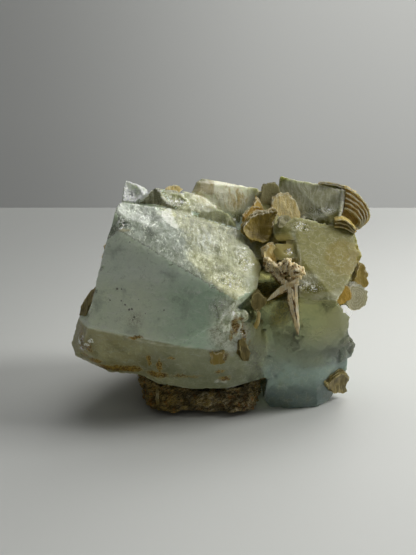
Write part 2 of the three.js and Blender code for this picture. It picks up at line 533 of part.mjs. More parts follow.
const FLAKES = {
  muscovite_golden_flake: {
    at: [19.5, 3.9, 53.9], slope: [-0.04, 0.775], packets: 3, ragged: 0.04, seed: 101,
    outline: [[-3.5, 2.3], [-2.2, 3.2], [0.3, 3.3], [1.6, 2.1], [3.6, -1.4], [3.5, -3.3], [-2.7, -2.6]],
  },
  muscovite_back_flake: {
    at: [14.2, 7.2, 57.3], slope: [0, 0.3], packets: 3, seed: 102,
    outline: [[-2.2, 1.2], [-1.5, 2.4], [0.3, 2.7], [2.2, 1.9], [2.4, 0.3], [1.2, -3.5], [-1.5, -3.2]],
  },
  muscovite_cupped_book: {
    at: [10.2, -3.6, 49.2], slope: [0.1, 0.75], packets: 4, ragged: 0.05, seed: 103,
    outline: [
      [-4.7, -0.4], [-3.3, 2.2], [-1.4, 3.5], [4.5, 4.8], [4.9, 3.6], [2.8, -2.3], [-0.1, -3.2],
      [-2.9, -2.4],
    ],
  },
  muscovite_orange_flake: {
    at: [9.0, 1.6, 53.3], slope: [0.2, 0.6], packets: 2, seed: 104,
    outline: [[-2.8, -1.6], [-1.2, 0], [1.9, 1.6], [3.4, 0.7], [1.7, -1.9]],
  },
  muscovite_orange_tip: {
    at: [10.6, 4.8, 54.9], slope: [0.2, 0.6], packets: 2, seed: 105,
    outline: [[-1.4, -2.0], [-1.3, 0.4], [-0.3, 1.4], [1.2, -0.3], [1.8, -2.4]],
  },
  muscovite_amber_book: {
    at: [13.1, -9.5, 43.7], slope: [0.2, 0.4], packets: 4, ragged: 0.2, seed: 106,
    outline: [[-2.3, 0.9], [-0.8, 2.0], [0.9, 2.4], [1.9, 1.0], [2.0, -1.2], [1.1, -2.7], [-0.9, -2.3]],
  },
  muscovite_olive_flake: {
    at: [17.5, -4.9, 51.4], slope: [0.1, 0.7], packets: 2, ragged: 0.05, seed: 107,
    outline: [
      [-1.6, 0.1], [-0.8, 1.1], [0.9, 1.2], [1.7, 0.3], [1.4, -1.0], [-0.3, -1.4], [-1.5, -1.0],
    ],
  },
  muscovite_pocket_flake: {
    at: [9.7, -20.6, 33.0], slope: [0.2, 0.15], packets: 2, ragged: 0.05, seed: 108,
    outline: [[-1.3, 2.4], [0.1, 2.3], [1.9, 1.0], [1.3, -0.9], [-0.4, -2.8], [-1.6, 0.4]],
  },
  muscovite_pale_curl: {
    at: [9.3, -21.8, 28.1], slope: [0.2, 0.1], packets: 2, ragged: 0.05, seed: 109,
    outline: [[-0.5, 2.3], [0.5, 1.4], [0.7, -0.6], [-0.5, -2.2], [-0.7, -0.5], [0, 0.6]],
  },
  muscovite_right_edge_book: {
    at: [38.7, -10.0, 36.8], slope: [0.4, 0.25], packets: 3, ragged: 0.05, seed: 110,
    outline: [[-1.9, -1.0], [0.1, 3.1], [1.6, 1.8], [2.0, -1.0], [2.5, -2.4], [1.7, -3.1], [0, -2.2]],
  },
  muscovite_diamond_flake: {
    at: [33.2, -17.9, 33.7], slope: [0.3, 0.4], packets: 2, ragged: 0.05, seed: 111,
    outline: [
      [1.1, 2.3], [2.2, 0.5], [1.9, -0.8], [-0.1, -2.4], [-2.1, -2.2], [-2.1, -0.2], [-0.4, 1.4],
    ],
  },
  muscovite_clear_book: {
    at: [37.4, -13.8, 31.7], slope: [0.5, 0.3], packets: 4, ragged: 0.08, seed: 112,
    outline: [
      [-2.7, 0.4], [-1.4, 2.5], [1.1, 3.2], [2.6, 1.9], [2.6, -0.8], [0.8, -3.1], [-1.0, -3.4],
      [-3.0, -1.4],
    ],
  },
  muscovite_flash_flake: {
    at: [34.4, -18.6, 29.2], slope: [0.2, 0.3], packets: 2, ragged: 0, seed: 113,
    outline: [[-1.2, 0.8], [-0.7, 1.2], [1.2, -0.1], [1.0, -1.1], [0.2, -1.3], [-0.9, -0.5]],
  },
  muscovite_lower_right_book: {
    at: [32.8, -16.2, 7.2], slope: [0.82, -0.22], packets: 4, ragged: 0.14, seed: 114,
    outline: [
      [0.4, 3.7], [2.8, 1.8], [3.1, -1.5], [3.7, -4.2], [3.0, -5.2], [1.2, -4.4], [-1.4, -1.6],
      [-3.5, 0.7], [-2.7, 2.4],
    ],
  },
  muscovite_left_edge_flakes: {
    at: [-36.8, -17.5, 31.6], slope: [-1.2, 0.2], packets: 3, ragged: 0.05, seed: 115,
    outline: [
      [2.9, 5.5], [-0.3, 1.3], [-2.0, -1.5], [-3.0, -3.9], [-2.8, -5.2], [-1.3, -4.9], [1.3, -0.1],
      [3.3, 3.7],
    ],
  },
  muscovite_crown_flake: {
    at: [-13.8, 4.7, 58.4], slope: [0.1, 1.0], packets: 2, seed: 116,
    outline: [[-2.8, 0.5], [-0.5, 0.9], [2.8, -0.5], [2.1, -1.3], [-1.2, -0.7]],
  },
  muscovite_seam_book: {
    at: [5.8, -24.4, 19.2], slope: [0.3, 0.2], packets: 3, ragged: 0.2, seed: 117,
    outline: [[-1.3, 1.8], [0, 2.5], [1.5, 0.4], [1.4, -2.4], [-0.3, -2.4], [-1.2, -0.4]],
  },
  muscovite_face_flake: {
    at: [-1.6, -25.6, 18.2], slope: [0.1, 0.15], packets: 2, sheet: 0.4, seed: 118,
    outline: [[-2.0, 1.5], [0, 1.8], [2.2, 1.0], [2.2, -1.2], [0.3, -2.0], [-2.0, -1.0]],
  },
  muscovite_shell_sheets: {
    at: [35.9, -0.7, 49.2], slope: [0.1, 0.8], packets: 3, sheet: 0.7, ragged: 0.08, seed: 119,
    outline: [[-2.7, -0.4], [-2.3, 1.2], [0.4, 0.9], [1.9, 0.1], [3.7, -1.8], [3.0, -3.0], [0.6, -1.6]],
  },
  muscovite_host_blade: {
    at: [-18.0, -22.4, 5.0], slope: [0, -0.1], packets: 4, sheet: 0.8, ragged: 0, seed: 120,
    outline: [[-0.5, 2.8], [0.4, 2.8], [0.6, -2.8], [-0.4, -2.8]],
  },
  muscovite_back_rosette: {
    at: [-9.0, 22.0, 41.0], slope: [0.2, -0.5], turn: 180, packets: 5, ragged: 0.14, seed: 121,
    outline: [[-5.0, -2.4], [-5.4, 2.0], [-1.0, 5.2], [3.6, 4.4], [5.6, 0], [3.4, -4.4], [-1.6, -5.0]],
  },
  muscovite_back_left_book: {
    at: [-33.4, 12.6, 37.0], slope: [0, 0.2], turn: -120, packets: 5, ragged: 0.14, seed: 122,
    outline: [[-3.4, -2.0], [-3.2, 3.0], [0.6, 4.6], [3.6, 2.4], [3.6, -2.2], [0.4, -4.2]],
  },
  muscovite_back_right_book: {
    at: [27.0, 20.6, 33.0], slope: [0, 0.2], turn: 165, packets: 5, ragged: 0.14, seed: 123,
    outline: [[-4.6, -2.0], [-3.8, 3.0], [0.4, 4.4], [4.4, 2.4], [4.4, -2.4], [0, -4.2]],
  },
};

const BROWN_FLAKES = [
  "muscovite_back_flake", "muscovite_olive_flake", "muscovite_pocket_flake",
  "muscovite_right_edge_book", "muscovite_left_edge_flakes", "muscovite_lower_right_book",
];
const PALE_FLAKES = [
  "muscovite_clear_book", "muscovite_flash_flake", "muscovite_pale_curl", "muscovite_host_blade",
];

function micaColour(name) {
  if (BROWN_FLAKES.includes(name)) return BROWN_MICA;
  return PALE_FLAKES.includes(name) ? PALE_MICA : GOLDEN_MICA;
}

// ---------------------------------------------------------------- host rock

// The remnant of dark host rock under the crystals: a rough slab with a flat base. Its flanks run
// from the outline at the base to the one at the top, given as left, right, front and back.
const HOST = {
  base: { left: -23.0, right: 11.6, front: -23.4, back: 16.0 },
  top: { left: -24.8, right: 12.2, front: -21.4, back: 18.0 },
  height: 13.0,
  roughness: 0.9,
  columns: 8,
  rows: 8,
  levels: 3,
};

function hostRock() {
  const random = randomFrom(91);
  const block = new THREE.BoxGeometry(1, 1, 1, HOST.columns, HOST.rows, HOST.levels);
  block.deleteAttribute("normal");
  block.deleteAttribute("uv");
  const shape = mergeVertices(block, MERGE);
  const position = shape.getAttribute("position");
  const { lerp } = THREE.MathUtils;
  for (let i = 0; i < position.count; i++) {
    const share = new THREE.Vector3().fromBufferAttribute(position, i).addScalar(0.5);
    const left = lerp(HOST.base.left, HOST.top.left, share.z);
    const right = lerp(HOST.base.right, HOST.top.right, share.z);
    const front = lerp(HOST.base.front, HOST.top.front, share.z);
    const back = lerp(HOST.base.back, HOST.top.back, share.z);
    const corner = Math.pow(Math.abs(2 * share.x - 1), 4) * Math.pow(Math.abs(2 * share.y - 1), 4);
    const inward = 1 - 0.12 * corner; // takes the corners off
    const middle = [(left + right) / 2, (front + back) / 2];
    const rough = HOST.roughness;
    const x = lerp(middle[0], lerp(left, right, share.x), inward) + between(random, -rough, rough);
    const y = lerp(middle[1], lerp(front, back, share.y), inward) + between(random, -rough, rough);
    const lift = share.z > 0.01 ? between(random, -rough, rough) * 0.7 : 0;
    position.setXYZ(i, x, y, BASE_LEVEL + HOST.height * share.z + lift);
  }
  return solidFrom(shape);
}

// ---------------------------------------------------------------- assembly

const specimen = new THREE.Group();

function addPiece(name, solid, colour, roughness, opacity = 1) {
  const material = new THREE.MeshStandardMaterial({
    color: colour,
    roughness,
    metalness: 0,
    transparent: opacity < 1,
    opacity,
    flatShading: true,
  });
  const mesh = new THREE.Mesh(geometryFrom(solid), material);
  mesh.name = name;
  specimen.add(mesh);
}

addPiece("aquamarine_crystals", fuseCrystals(), BLUE_GREEN, 0.2, 0.8);

// What is taken up so far, with the seat gap round it.
let taken = union([
  ...CRYSTALS.map((corners) => roomAround(vectors(corners), SEAT_GAP)),
  ...SPLINTERS.map((splinter) => roomAroundSolid(splinter, SEAT_GAP)),
]);

// Seats a piece, given as the solids that make it up. What the crystals and the pieces before it
// take up is cut away, and then the piece is taken up too.
function seat(name, solids, colour, roughness) {
  addPiece(name, largestBody(union(solids).subtract(taken)), colour, roughness);
  taken = union([taken, ...solids.map((solid) => roomAroundSolid(solid, SEAT_GAP))]);
}

seat("host_rock", [hostRock()], HOST_BROWN, 0.9);
seat("tan_mica_mass", tanMass(), TAN, 0.8);
seat("muscovite_curled_book", curledBook(), GOLDEN_MICA, 0.4);
for (const [name, sizes] of Object.entries(FLAKES)) {
  seat(name, flake(sizes), micaColour(name), 0.35);
}

export default specimen;
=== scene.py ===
"""Aquamarine with muscovite: a hand specimen of pale beryl crystals, grown together on dark host
rock, with books and flakes of mica on them. The stage, lights and camera come last."""

import math
import random

import bmesh
import bpy
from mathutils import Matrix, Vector, bvhtree, kdtree, noise


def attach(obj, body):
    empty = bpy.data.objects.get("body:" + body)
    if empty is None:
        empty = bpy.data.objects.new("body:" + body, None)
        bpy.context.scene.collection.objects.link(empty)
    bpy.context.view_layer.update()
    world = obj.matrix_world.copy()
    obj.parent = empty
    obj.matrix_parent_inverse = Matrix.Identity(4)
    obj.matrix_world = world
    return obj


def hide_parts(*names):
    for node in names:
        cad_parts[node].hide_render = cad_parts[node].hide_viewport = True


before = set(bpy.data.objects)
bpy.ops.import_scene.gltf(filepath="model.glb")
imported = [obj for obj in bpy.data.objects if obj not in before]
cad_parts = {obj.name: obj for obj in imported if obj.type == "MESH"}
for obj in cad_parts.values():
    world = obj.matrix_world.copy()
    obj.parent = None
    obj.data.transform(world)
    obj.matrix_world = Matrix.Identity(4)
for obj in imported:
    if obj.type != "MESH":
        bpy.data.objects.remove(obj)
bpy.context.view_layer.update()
MM = 0.001


# ---------------------------------------------------------------- the aquamarine crystals
# Beryl prisms that grew into each other: one piece of stone, clear to milky, blue-green in the
# middle and olive on the right. Its faces are smooth where they grew and frosted where they broke.


class Field:
    """A number or colour that changes over a surface, so that shader sums read as plain sums."""

    def __init__(self, stone, socket):
        self.stone = stone
        self.socket = socket

    def sum(self, operation, *numbers):
        return self.stone.add("Math", {"operation": operation}, numbers)

    def __add__(self, other):
        return self.sum("ADD", self, other)

    def __sub__(self, other):
        return self.sum("SUBTRACT", self, other)

    def __rsub__(self, other):
        return self.sum("SUBTRACT", other, self)

    def __mul__(self, other):
        return self.sum("MULTIPLY", self, other)

    def __or__(self, other):
        return self.sum("MAXIMUM", self, other)

    def __abs__(self):
        return self.sum("ABSOLUTE", self)

    __radd__ = __add__
    __rmul__ = __mul__


class Stone:
    """The material of one mineral, built up node by node. `place` is the position in mm."""

    def __init__(self, name):
        self.material = bpy.data.materials.new(name)
        self.material.use_nodes = True
        self.nodes = self.material.node_tree.nodes
        self.links = self.material.node_tree.links
        self.nodes.clear()
        metres = self.add("TexCoord", outlet="Object")
        self.place = self.add("VectorMath", {"operation": "SCALE"}, {0: metres, "Scale": 1 / MM})

    def add(self, kind, settings=None, sockets=None, outlet=0):
        node = self.nodes.new("ShaderNode" + kind)
        for name, value in (settings or {}).items():
            setattr(node, name, value)
        named = sockets.items() if isinstance(sockets, dict) else enumerate(sockets or ())
        for name, value in named:
            socket = node.inputs[name]
            if isinstance(value, Field):
                self.links.new(value.socket, socket)
            else:
                socket.default_value = (*value, 1) if socket.type == "RGBA" else value
        return Field(self, node.outputs[outlet])

    def axis(self, letter, place=None):
        return self.add("SeparateXYZ", None, {"Vector": place or self.place}, letter)

    def carried(self, name):
        """A number that the mesh carries on its vertices."""
        return self.add("Attribute", {"attribute_name": name}, None, "Fac")

    def grain(self, size, detail=3, place=None, scales=None, outlet=0, **sockets):
        """Noise whose lumps are about `size` mm across, or streaks where `scales` differ."""
        place = place or self.place
        if scales:
            place = self.add("VectorMath", {"operation": "MULTIPLY"}, (place, scales))
        sockets = {name.title(): value for name, value in sockets.items()}
        sockets.update({"Vector": place, "Scale": 1 / size, "Detail": detail})
        return self.add("TexNoise", None, sockets, outlet)

    def shifted(self, amount, size, detail=2):
        """The position, pushed about by up to `amount` mm, so that borders aren't straight."""
        push = self.centred(self.grain(size, detail, outlet=1), 2 * amount)
        return self.add("VectorMath", {"operation": "ADD"}, (self.place, push))

    def centred(self, noisy, amount):
        """A noisy colour as a push to every side."""
        push = self.add("VectorMath", {"operation": "SUBTRACT"}, (noisy, (0.5, 0.5, 0.5)))
        return self.add("VectorMath", {"operation": "SCALE"}, {0: push, "Scale": amount})

    def patch(self, centre, reach, place=None, soft=0.45):
        """1 in a patch round `centre` and 0 past `reach`, both in mm."""
        reach = reach if isinstance(reach, tuple) else (reach,) * 3
        scale = tuple(1 / r for r in reach)
        start = tuple(-c / r for c, r in zip(centre, reach))
        settings = {"operation": "MULTIPLY_ADD"}
        away = self.add("VectorMath", settings, (place or self.place, scale, start))
        away = self.add("VectorMath", {"operation": "LENGTH"}, (away,), "Value")
        return ease(away, 1, soft)

    def marks(self, rows, place, soft=0.45):
        """Many patches in one. A row has a middle, a reach and, if it isn't full, a strength."""
        total = None
        for centre, reach, *strength in rows:
            mark = self.patch(centre, reach, place, soft)
            if strength:
                mark = mark * strength[0]
            total = total | mark if total else mark
        return total

    def show(self, shader, volume=None):
        output = self.nodes.new("ShaderNodeOutputMaterial")
        self.links.new(shader.socket, output.inputs["Surface"])
        if volume:
            self.links.new(volume.socket, output.inputs["Volume"])
        return self.material


def ease(value, low, high):
    """0 at `low` and 1 at `high`, smoothly."""
    settings = {"interpolation_type": "SMOOTHSTEP"}
    return value.stone.add("MapRange", settings, (value, low, high, 0, 1))


def blend(first, second, share):
    """The first colour where share is 0 and the second where it is 1."""
    settings = {"data_type": "RGBA", "clamp_factor": True}
    return share.stone.add("Mix", settings, {0: share, 6: first, 7: second}, 2)


def coats(colour, *layers):
    """A colour with others laid over it in turn, each as far as its share."""
    for layer, share in layers:
        colour = blend(colour, layer, share)
    return colour


def clamped(value, low=0):
    return min(1, max(low, value))


def merged_copy(node):
    """A bmesh of a CAD node's own shape, with its loose triangles joined."""
    mesh = bmesh.new()
    mesh.from_mesh(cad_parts[node].data)
    bmesh.ops.remove_doubles(mesh, verts=mesh.verts, dist=2e-6)
    return mesh


def data_of(name, mesh):
    """The mesh as Blender data. The bmesh goes."""
    data = bpy.data.meshes.new(name)
    mesh.to_mesh(data)
    mesh.free()
    return data


def join(part, whole):
    data = data_of("part", part)
    whole.from_mesh(data)
    bpy.data.meshes.remove(data)


def placed(name, data):
    thing = bpy.data.objects.new(name, data)
    bpy.context.scene.collection.objects.link(thing)
    return thing


def carry(mesh, *names):
    """New numbers for the vertices to carry, which a Stone reads by name."""
    return [mesh.verts.layers.float.new(name) for name in names]


def tree_of(points):
    tree = kdtree.KDTree(len(points))
    for index, point in enumerate(points):
        tree.insert(point, index)
    tree.balance()
    return tree


def split_long_edges(mesh, longest):
    """Cuts every edge down to `longest` mm, so that the mesh can carry relief."""
    for _ in range(9):
        edges = [e for e in mesh.edges if e.calc_length() > longest * MM]
        if not edges:
            break
        bmesh.ops.subdivide_edges(mesh, edges=edges, cuts=1)
        bmesh.ops.triangulate(mesh, faces=[f for f in mesh.faces if len(f.verts) > 3])


def crease(mesh, degrees):
    """Smooth faces, parted where the surface turns by more than the angle."""
    for face in mesh.faces:
        face.smooth = True
    for edge in mesh.edges:
        edge.smooth = edge.calc_face_angle(0) < math.radians(degrees)


def finished(name, mesh, material):
    """Makes the object of a piece that rides on the specimen."""
    data = data_of(name, mesh)
    data.materials.append(material)
    piece = placed(name, data)
    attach(piece, "root")
    return piece


# Where the stone is crushed or broken, in mm: middle, reach, and how deep the relief goes.
CRUSHED = [
    ((2.6, -25.5, 27), (4.5, 5, 10), 0.4), ((7, -22.5, 18), (5, 4, 7), 0.35),
    ((21, -16, 38.5), (4.5, 5, 3.5), 0.2), ((27, 1, 50.5), (8, 3, 2.6), 0.4),
    ((36, -14, 20), (4, 6, 9), 0.35), ((37.5, -8, 36), (4, 7, 5), 0.2), ((-36, -20, 15), (8, 5, 4), 0.3),
    ((-8, 2, 55), (5, 5, 4), 0.2), ((0, 20, 28), (36, 9, 22), 0.35),
]


def crushed(point):
    share = 0
    for centre, reach, depth in CRUSHED:
        away = Vector((p / MM - c) / r for p, c, r in zip(point, centre, reach)).length
        share = max(share, depth * (1 - min(away, 1) ** 2))
    return share


SHARP, SHORTEST_RIDGE, RIDGE_STEP = 0.5, 1.2, 0.4  # radians, mm, mm

crystals = merged_copy("aquamarine_crystals")
ridges = []
for edge in crystals.edges:
    length = edge.calc_length()
    if edge.calc_face_angle_signed(0) > SHARP and length > SHORTEST_RIDGE * MM:
        start, end = (v.co for v in edge.verts)
        steps = max(1, int(length / (RIDGE_STEP * MM)))
        ridges += [start.lerp(end, i / steps) for i in range(steps + 1)]
ridge_tree = tree_of(ridges)


def remeshed(mesh, voxel):
    """The same solid in even squares of about `voxel` mm, which takes the knife edge off it."""
    data = data_of("blank", mesh)
    blank = placed("blank", data)
    cut = blank.modifiers.new("even", "REMESH")
    cut.mode = "VOXEL"
    cut.voxel_size = voxel * MM
    view = bpy.context.evaluated_depsgraph_get()
    even = bmesh.new()
    even.from_mesh(blank.evaluated_get(view).to_mesh())
    bpy.data.objects.remove(blank)
    bpy.data.meshes.remove(data)
    return even


# Small blocks grown onto the crystals, each the hull of its corners in mm.
BLOCKS = {
    "ledge under the two edge books": [
        (34.6, -13, 35.6), (37.4, -11.4, 35.6), (39, -10.6, 34.6), (39.6, -11.2, 31.6), (38.4, -12.6, 29.2),
        (36, -14, 29), (34.4, -14.4, 31), (38.4, -8, 40.6), (39.9, -7.6, 39), (40.6, -8.2, 35),
        (36, -9.6, 40), (38, -2, 40), (38.6, -2, 31), (34, -2, 29), (33, -4, 40)],
    "end of the smoky crystal": [
        (30.4, 8.4, 58.9), (36.7, 7.1, 57.5), (34.3, 0.8, 50.6), (31.6, 0.8, 50.8), (30.4, 12, 58.9),
        (36.2, 11, 57.4), (34.3, 8, 50), (31.6, 8, 50)],
    "fin down its edge": [
        (35.9, 6.8, 58), (36.9, 6.6, 57.8), (34, 0.3, 51), (34.6, 0.3, 51), (35.9, 7.8, 57),
        (36.9, 7.6, 56.8), (34, 1.3, 50), (34.6, 1.3, 50)],
    "step on the crown": [
        (-8.8, -1.6, 53.6), (-6.2, -1.6, 52.8), (-5.2, 1, 54), (-8.8, 2.4, 55.6), (-6.2, 3.2, 55.4),
        (-8.8, -2.4, 50), (-5.2, -2.4, 50), (-5.2, 2.4, 50), (-8.8, 2.4, 50)],
    "shoulder above the blue foot": [
        (10.2, -21, 14.8), (10.2, -20.9, 12.2), (12.5, -20.8, 16), (15.5, -21.2, 16.5), (15.8, -21.4, 12),
        (14.6, -21, 8), (12.6, -19.8, 9), (10.5, -17, 13), (15, -16, 9), (15, -16, 16), (10.5, -17, 15)],
}
for corners in BLOCKS.values():
    block = bmesh.new()
    bmesh.ops.convex_hull(block, input=[block.verts.new(Vector(corner) * MM) for corner in corners])
    bmesh.ops.recalc_face_normals(block, faces=block.faces)
    join(block, crystals)

facets = bvhtree.BVHTree.FromBMesh(crystals)
crystals = remeshed(crystals, 0.51)
upness, = carry(crystals, "upness")
for vert in crystals.verts:
    vert.co, way, _, _ = facets.find_nearest(vert.co)
    vert[upness] = way.z
# The front of the olive crystal is worn: its edges are rounded over.
worn = [v for v in crystals.verts if Vector(
    ((v.co.x / MM - 22) / 13, (v.co.y / MM + 22) / 8, (v.co.z / MM - 20) / 13)).length < 1]
for _ in range(40):
    bmesh.ops.smooth_vert(crystals, verts=worn, factor=0.5, use_axis_x=True, use_axis_y=True, use_axis_z=True)
crystals.normal_update()
# The foot of the broad face: a thin bright line where it meets the prism below.
BORDER = [
    (-39.5, -20, 27.4), (-35.4, -23.6, 26), (-30.2, -24.3, 24.9), (-24.5, -24.9, 23.3),
    (-16.9, -25.4, 21.8), (-7.9, -26.5, 21.7),
]
border_tree = tree_of([
    Vector(a).lerp(Vector(b), i / 24) * MM for a, b in zip(BORDER, BORDER[1:]) for i in range(24)])
# The crown is in two parts: clear and grey on the left, milky and yellowish right of this line,
# which is in y and x.
CROWN_LINE = [
    (2, -23.5), (-2.1, -21.5), (-6.1, -17.2), (-11.2, -13), (-14.3, -9.8), (-20.8, -9.4),
    (-23.9, -5), (-26.2, -0.7), (-29, 3),
]


def right_of_line(point):
    for (first_y, first_x), (next_y, next_x) in zip(CROWN_LINE, CROWN_LINE[1:]):
        if point.y >= next_y:
            break
    share = (point.y - first_y) / (next_y - first_y)
    return point.x - (first_x + (next_x - first_x) * share)


# Facets that stand out: how far painted shade darkens them (the smoky rows) or how chalky they are, between
# which two depths, and the outline in x and z.
FACETS = [
    ("smoky", 1, -4, 3.5, [
        (-23.9, 55.4), (-21.3, 57.4), (-19.4, 59.4), (-17.6, 59), (-17.4, 57.4), (-12.9, 54.2),
        (-15.3, 54.6), (-18.1, 55.4), (-20.6, 55.6)]),
    ("smoky", 0.5, -5, 2.6, [
        (-6.6, 51.7), (-5.2, 53.9), (-2.7, 54.2), (0, 53.5), (3.3, 51.8), (5, 49.4), (4.4, 48.4),
        (0.2, 49.9), (-3.3, 51)]),
    ("smoky", 0.7, 3, 12, [
        (-8.6, 56.8), (-8.6, 61), (-1.8, 61), (-1.9, 56.6), (-3.2, 56.4), (-5.8, 57.6)]),
    ("chalky", 1, -13, -3, [
        (-18.3, 55.2), (-14.4, 54.7), (-13.4, 53.4), (-11.9, 50.8), (-13.6, 51.6), (-16, 53.4)]),
    ("chalky", 0.9, -4, 2, [
        (-17.6, 57.6), (-16.9, 57.6), (-14.8, 55.6), (-15.4, 55.4)]),
    ("chalky", 0.8, -1, 9, [
        (35.7, 58.4), (37.3, 58), (35.1, 50.2), (33.7, 50.2)]),
]


def inside(outline, across, height):
    hits = 0
    for (ax, az), (bx, bz) in zip(outline, outline[1:] + outline[:1]):
        if (az > height) != (bz > height) and across < ax + (height - az) / (bz - az) * (bx - ax):
            hits += 1
    return hits % 2 == 1


def fading(away, reach):
    """1 on a line and next to nothing past twice the reach, both in mm."""
    return math.exp(-((away / reach) ** 2))


rim, seam, veil = carry(crystals, "rim", "seam", "veil")
marked = dict(zip(("smoky", "chalky"), carry(crystals, "smoky", "chalky")))
moves = []
for vert in crystals.verts:
    near = ridge_tree.find(vert.co)[2] / MM
    where = vert.co / MM
    vert[rim] = fading(near, 0.55) * clamped(0.5 + noise.noise(where * 0.35))
    to_border = border_tree.find(vert.co)[2] / MM
    vert[seam] = fading(to_border, 0.32) * clamped(0.6 + noise.noise(where * 0.5), 0.2)
    vert[veil] = clamped(0.5 + right_of_line(where) * 0.14)
    for name, strength, front, back, outline in FACETS:
        if front < where.y < back and inside(outline, where.x, where.z):
            vert[marked[name]] = strength
    depth = crushed(vert.co)
    lumps = noise.fractal(where * 0.5, 0.9, 2.2, 4) * (0.05 + depth)
    nibble = max(0, noise.noise(where * 0.9)) * 0.45 * fading(near, 0.9)
    stays = 0 if vert.co.z < 0.4 * MM else 1
    moves.append(vert.normal * (lumps - nibble - 0.4 * depth) * MM * stays)
for vert, move in zip(crystals.verts, moves):
    vert.co += move
    vert.co.z = max(vert.co.z, 0)
crease(crystals, 18)

beryl = Stone("aquamarine")
patch, grain, marks = beryl.patch, beryl.grain, beryl.marks
bent = beryl.shifted(1.6, 5)
x, z = beryl.axis("X", bent), beryl.axis("Z", bent)

# Clouds, wisps, crumbs and streaks in the stone.
cloud = grain(8, 5, roughness=0.6)
wisp = grain(2, 5, roughness=0.65, distortion=0.8)
fine = grain(0.45, 4, roughness=0.7)
streak = grain(1, 5, bent, (1.1, 0.16, 0.2), roughness=0.65)
soft = grain(3, 4, bent, (1.2, 0.4, 0.45), roughness=0.6)
combed = grain(1.1, 4, bent, (1, 0.22, 0.25), roughness=0.55)
scratches = grain(0.45, 3, beryl.shifted(1.6, 8), (0.1, 0.3, 0.6), roughness=0.5)
crumbly = fine * 0.5 + wisp * 0.5
cracks = beryl.add(
    "TexVoronoi", {"feature": "DISTANCE_TO_EDGE"}, {"Vector": beryl.shifted(0.9, 1.6, 4), "Scale": 0.5})
veins = ease(cracks, 0.09, 0) * ease(wisp, 0.38, 0.62)

# Zones: the right-hand crystals and their blue foot, the crown, the band below the broad face.
right = ease(x, 5, 10)
high_right = right * ease(z, 31, 36)
foot = ease(z + (cloud - 0.5) * 6, 17, 11) * ease(x, 10, 13.5)
crown = ease(beryl.carried("upness"), 0.43, 0.53) * (1 - right) * ease(z, 33, 36)
veil = ease(beryl.carried("veil") + (wisp - 0.5) * 1.1, 0.15, 0.85)
below = ease(beryl.axis("Z") + 0.16 * beryl.axis("X") + wisp * 0.6, 20.7, 19.9) * (1 - right)
fracture = patch((3, -26, 27.5), (9, 7, 12), bent, 0.5)
edge_sheen = beryl.carried("rim") * (1 - (fracture | patch((-9, -28, 26), (11, 5, 6.5), soft=0.8)))
seam_share = beryl.carried("seam") * (1 - fracture)
# Painted shade: the dark facets of the smoky rows in FACETS.
shaded_facets = beryl.carried("smoky")
chalky = beryl.carried("chalky")
smoky = patch((27, 7, 56), (11.5, 9, 8), soft=0.8)
smoke = ease(grain(1.2, 4, bent, (1.4, 0.3, 0.3), roughness=0.7), 0.4, 0.62)
back_block = patch((0, 7, 56), (12, 8, 7), soft=0.5)
# The clear tip: pale grey painted in, standing in for the wall seen through it.
painted_view_through_tip = patch((-25.5, 3.5, 58.5), (7, 6, 5), soft=0.8)
# Amber colour, stretched over the slot behind the amber block, where it also lightens the shade: partly
# painted light.
amber = patch((17, -8, 44.8), (4.5, 7.5, 4), bent, 0.5)
# Painted shade: the pocket and the ground under the tan mass and its blade, near black with golden patches,
# and made opaque.
shaded_pocket = patch((13, -7, 33.5), (7, 12, 8), bent, 0.7)
shaded_pocket = shaded_pocket | patch((16, -19, 29), (6.5, 4, 6), bent, 0.4) * 0.6
shaded_pocket = shaded_pocket | patch((6.5, -24, 26), (3, 3, 7), bent, 0.3) * 0.6

# Threads inside the crown, growth levels below it.
threads = grain(3.2, 4, bent, (1, 0.3, 0.4), roughness=0.62)
pale_threads = ease(abs(threads - 0.5), 0.014, 0) * ease(wisp, 0.36, 0.52)
dark_threads = ease(abs(threads - 0.57), 0.02, 0)
levels = grain(5, 4, bent, (0.3, 0.5, 1.5), roughness=0.6)
levels = ease(abs(levels - 0.5), 0.01, 0) * (1 - crown)

# Frost: white where the stone is crushed and on the crown; along the edges the white is partly frost and
# partly painted highlight.
frost_and_edge_sheen = fracture * 0.35 | marks([
    ((-15.6, -8.5, 54.5), (4.2, 3.5, 2), 1), ((2, -22.8, 38.6), (8.5, 5, 3.4), 0.85),
    ((4.8, -19, 39.4), (4, 7, 4), 0.6), ((-6, -20, 44), (10, 6, 3.5), 0.5),
    ((23.5, -17.4, 38.4), (4.5, 3.5, 2.4), 0.5), ((29, -20.6, 34), (9, 2.4, 1.8), 0.3),
    ((25, 2.3, 50.8), (8, 2.5, 1.8), 0.9), ((36.4, -15.6, 17.4), (3.2, 3.5, 4.4), 0.35),
    ((-1, -25.6, 21.5), (6, 4, 5), 0.5), ((12, -21.5, 16), (9, 4, 7), 0.3),
    ((-11, 3, 55.5), (7, 5, 3), 0.35), ((-0.3, -22.4, 9.8), (2.6, 2.4, 0.9), 0.9),
], bent)
frost_and_edge_sheen = frost_and_edge_sheen * (0.3 + 0.7 * ease(wisp * 0.6 + fine * 0.4, 0.4, 0.62))
frost_and_edge_sheen = frost_and_edge_sheen | crown * ease(streak, 0.52, 0.72) * 0.3
# Along the ridges: white painted highlight.
frost_and_edge_sheen = frost_and_edge_sheen | edge_sheen * fine * 0.7 | veins * (0.14 + 0.16 * crown)

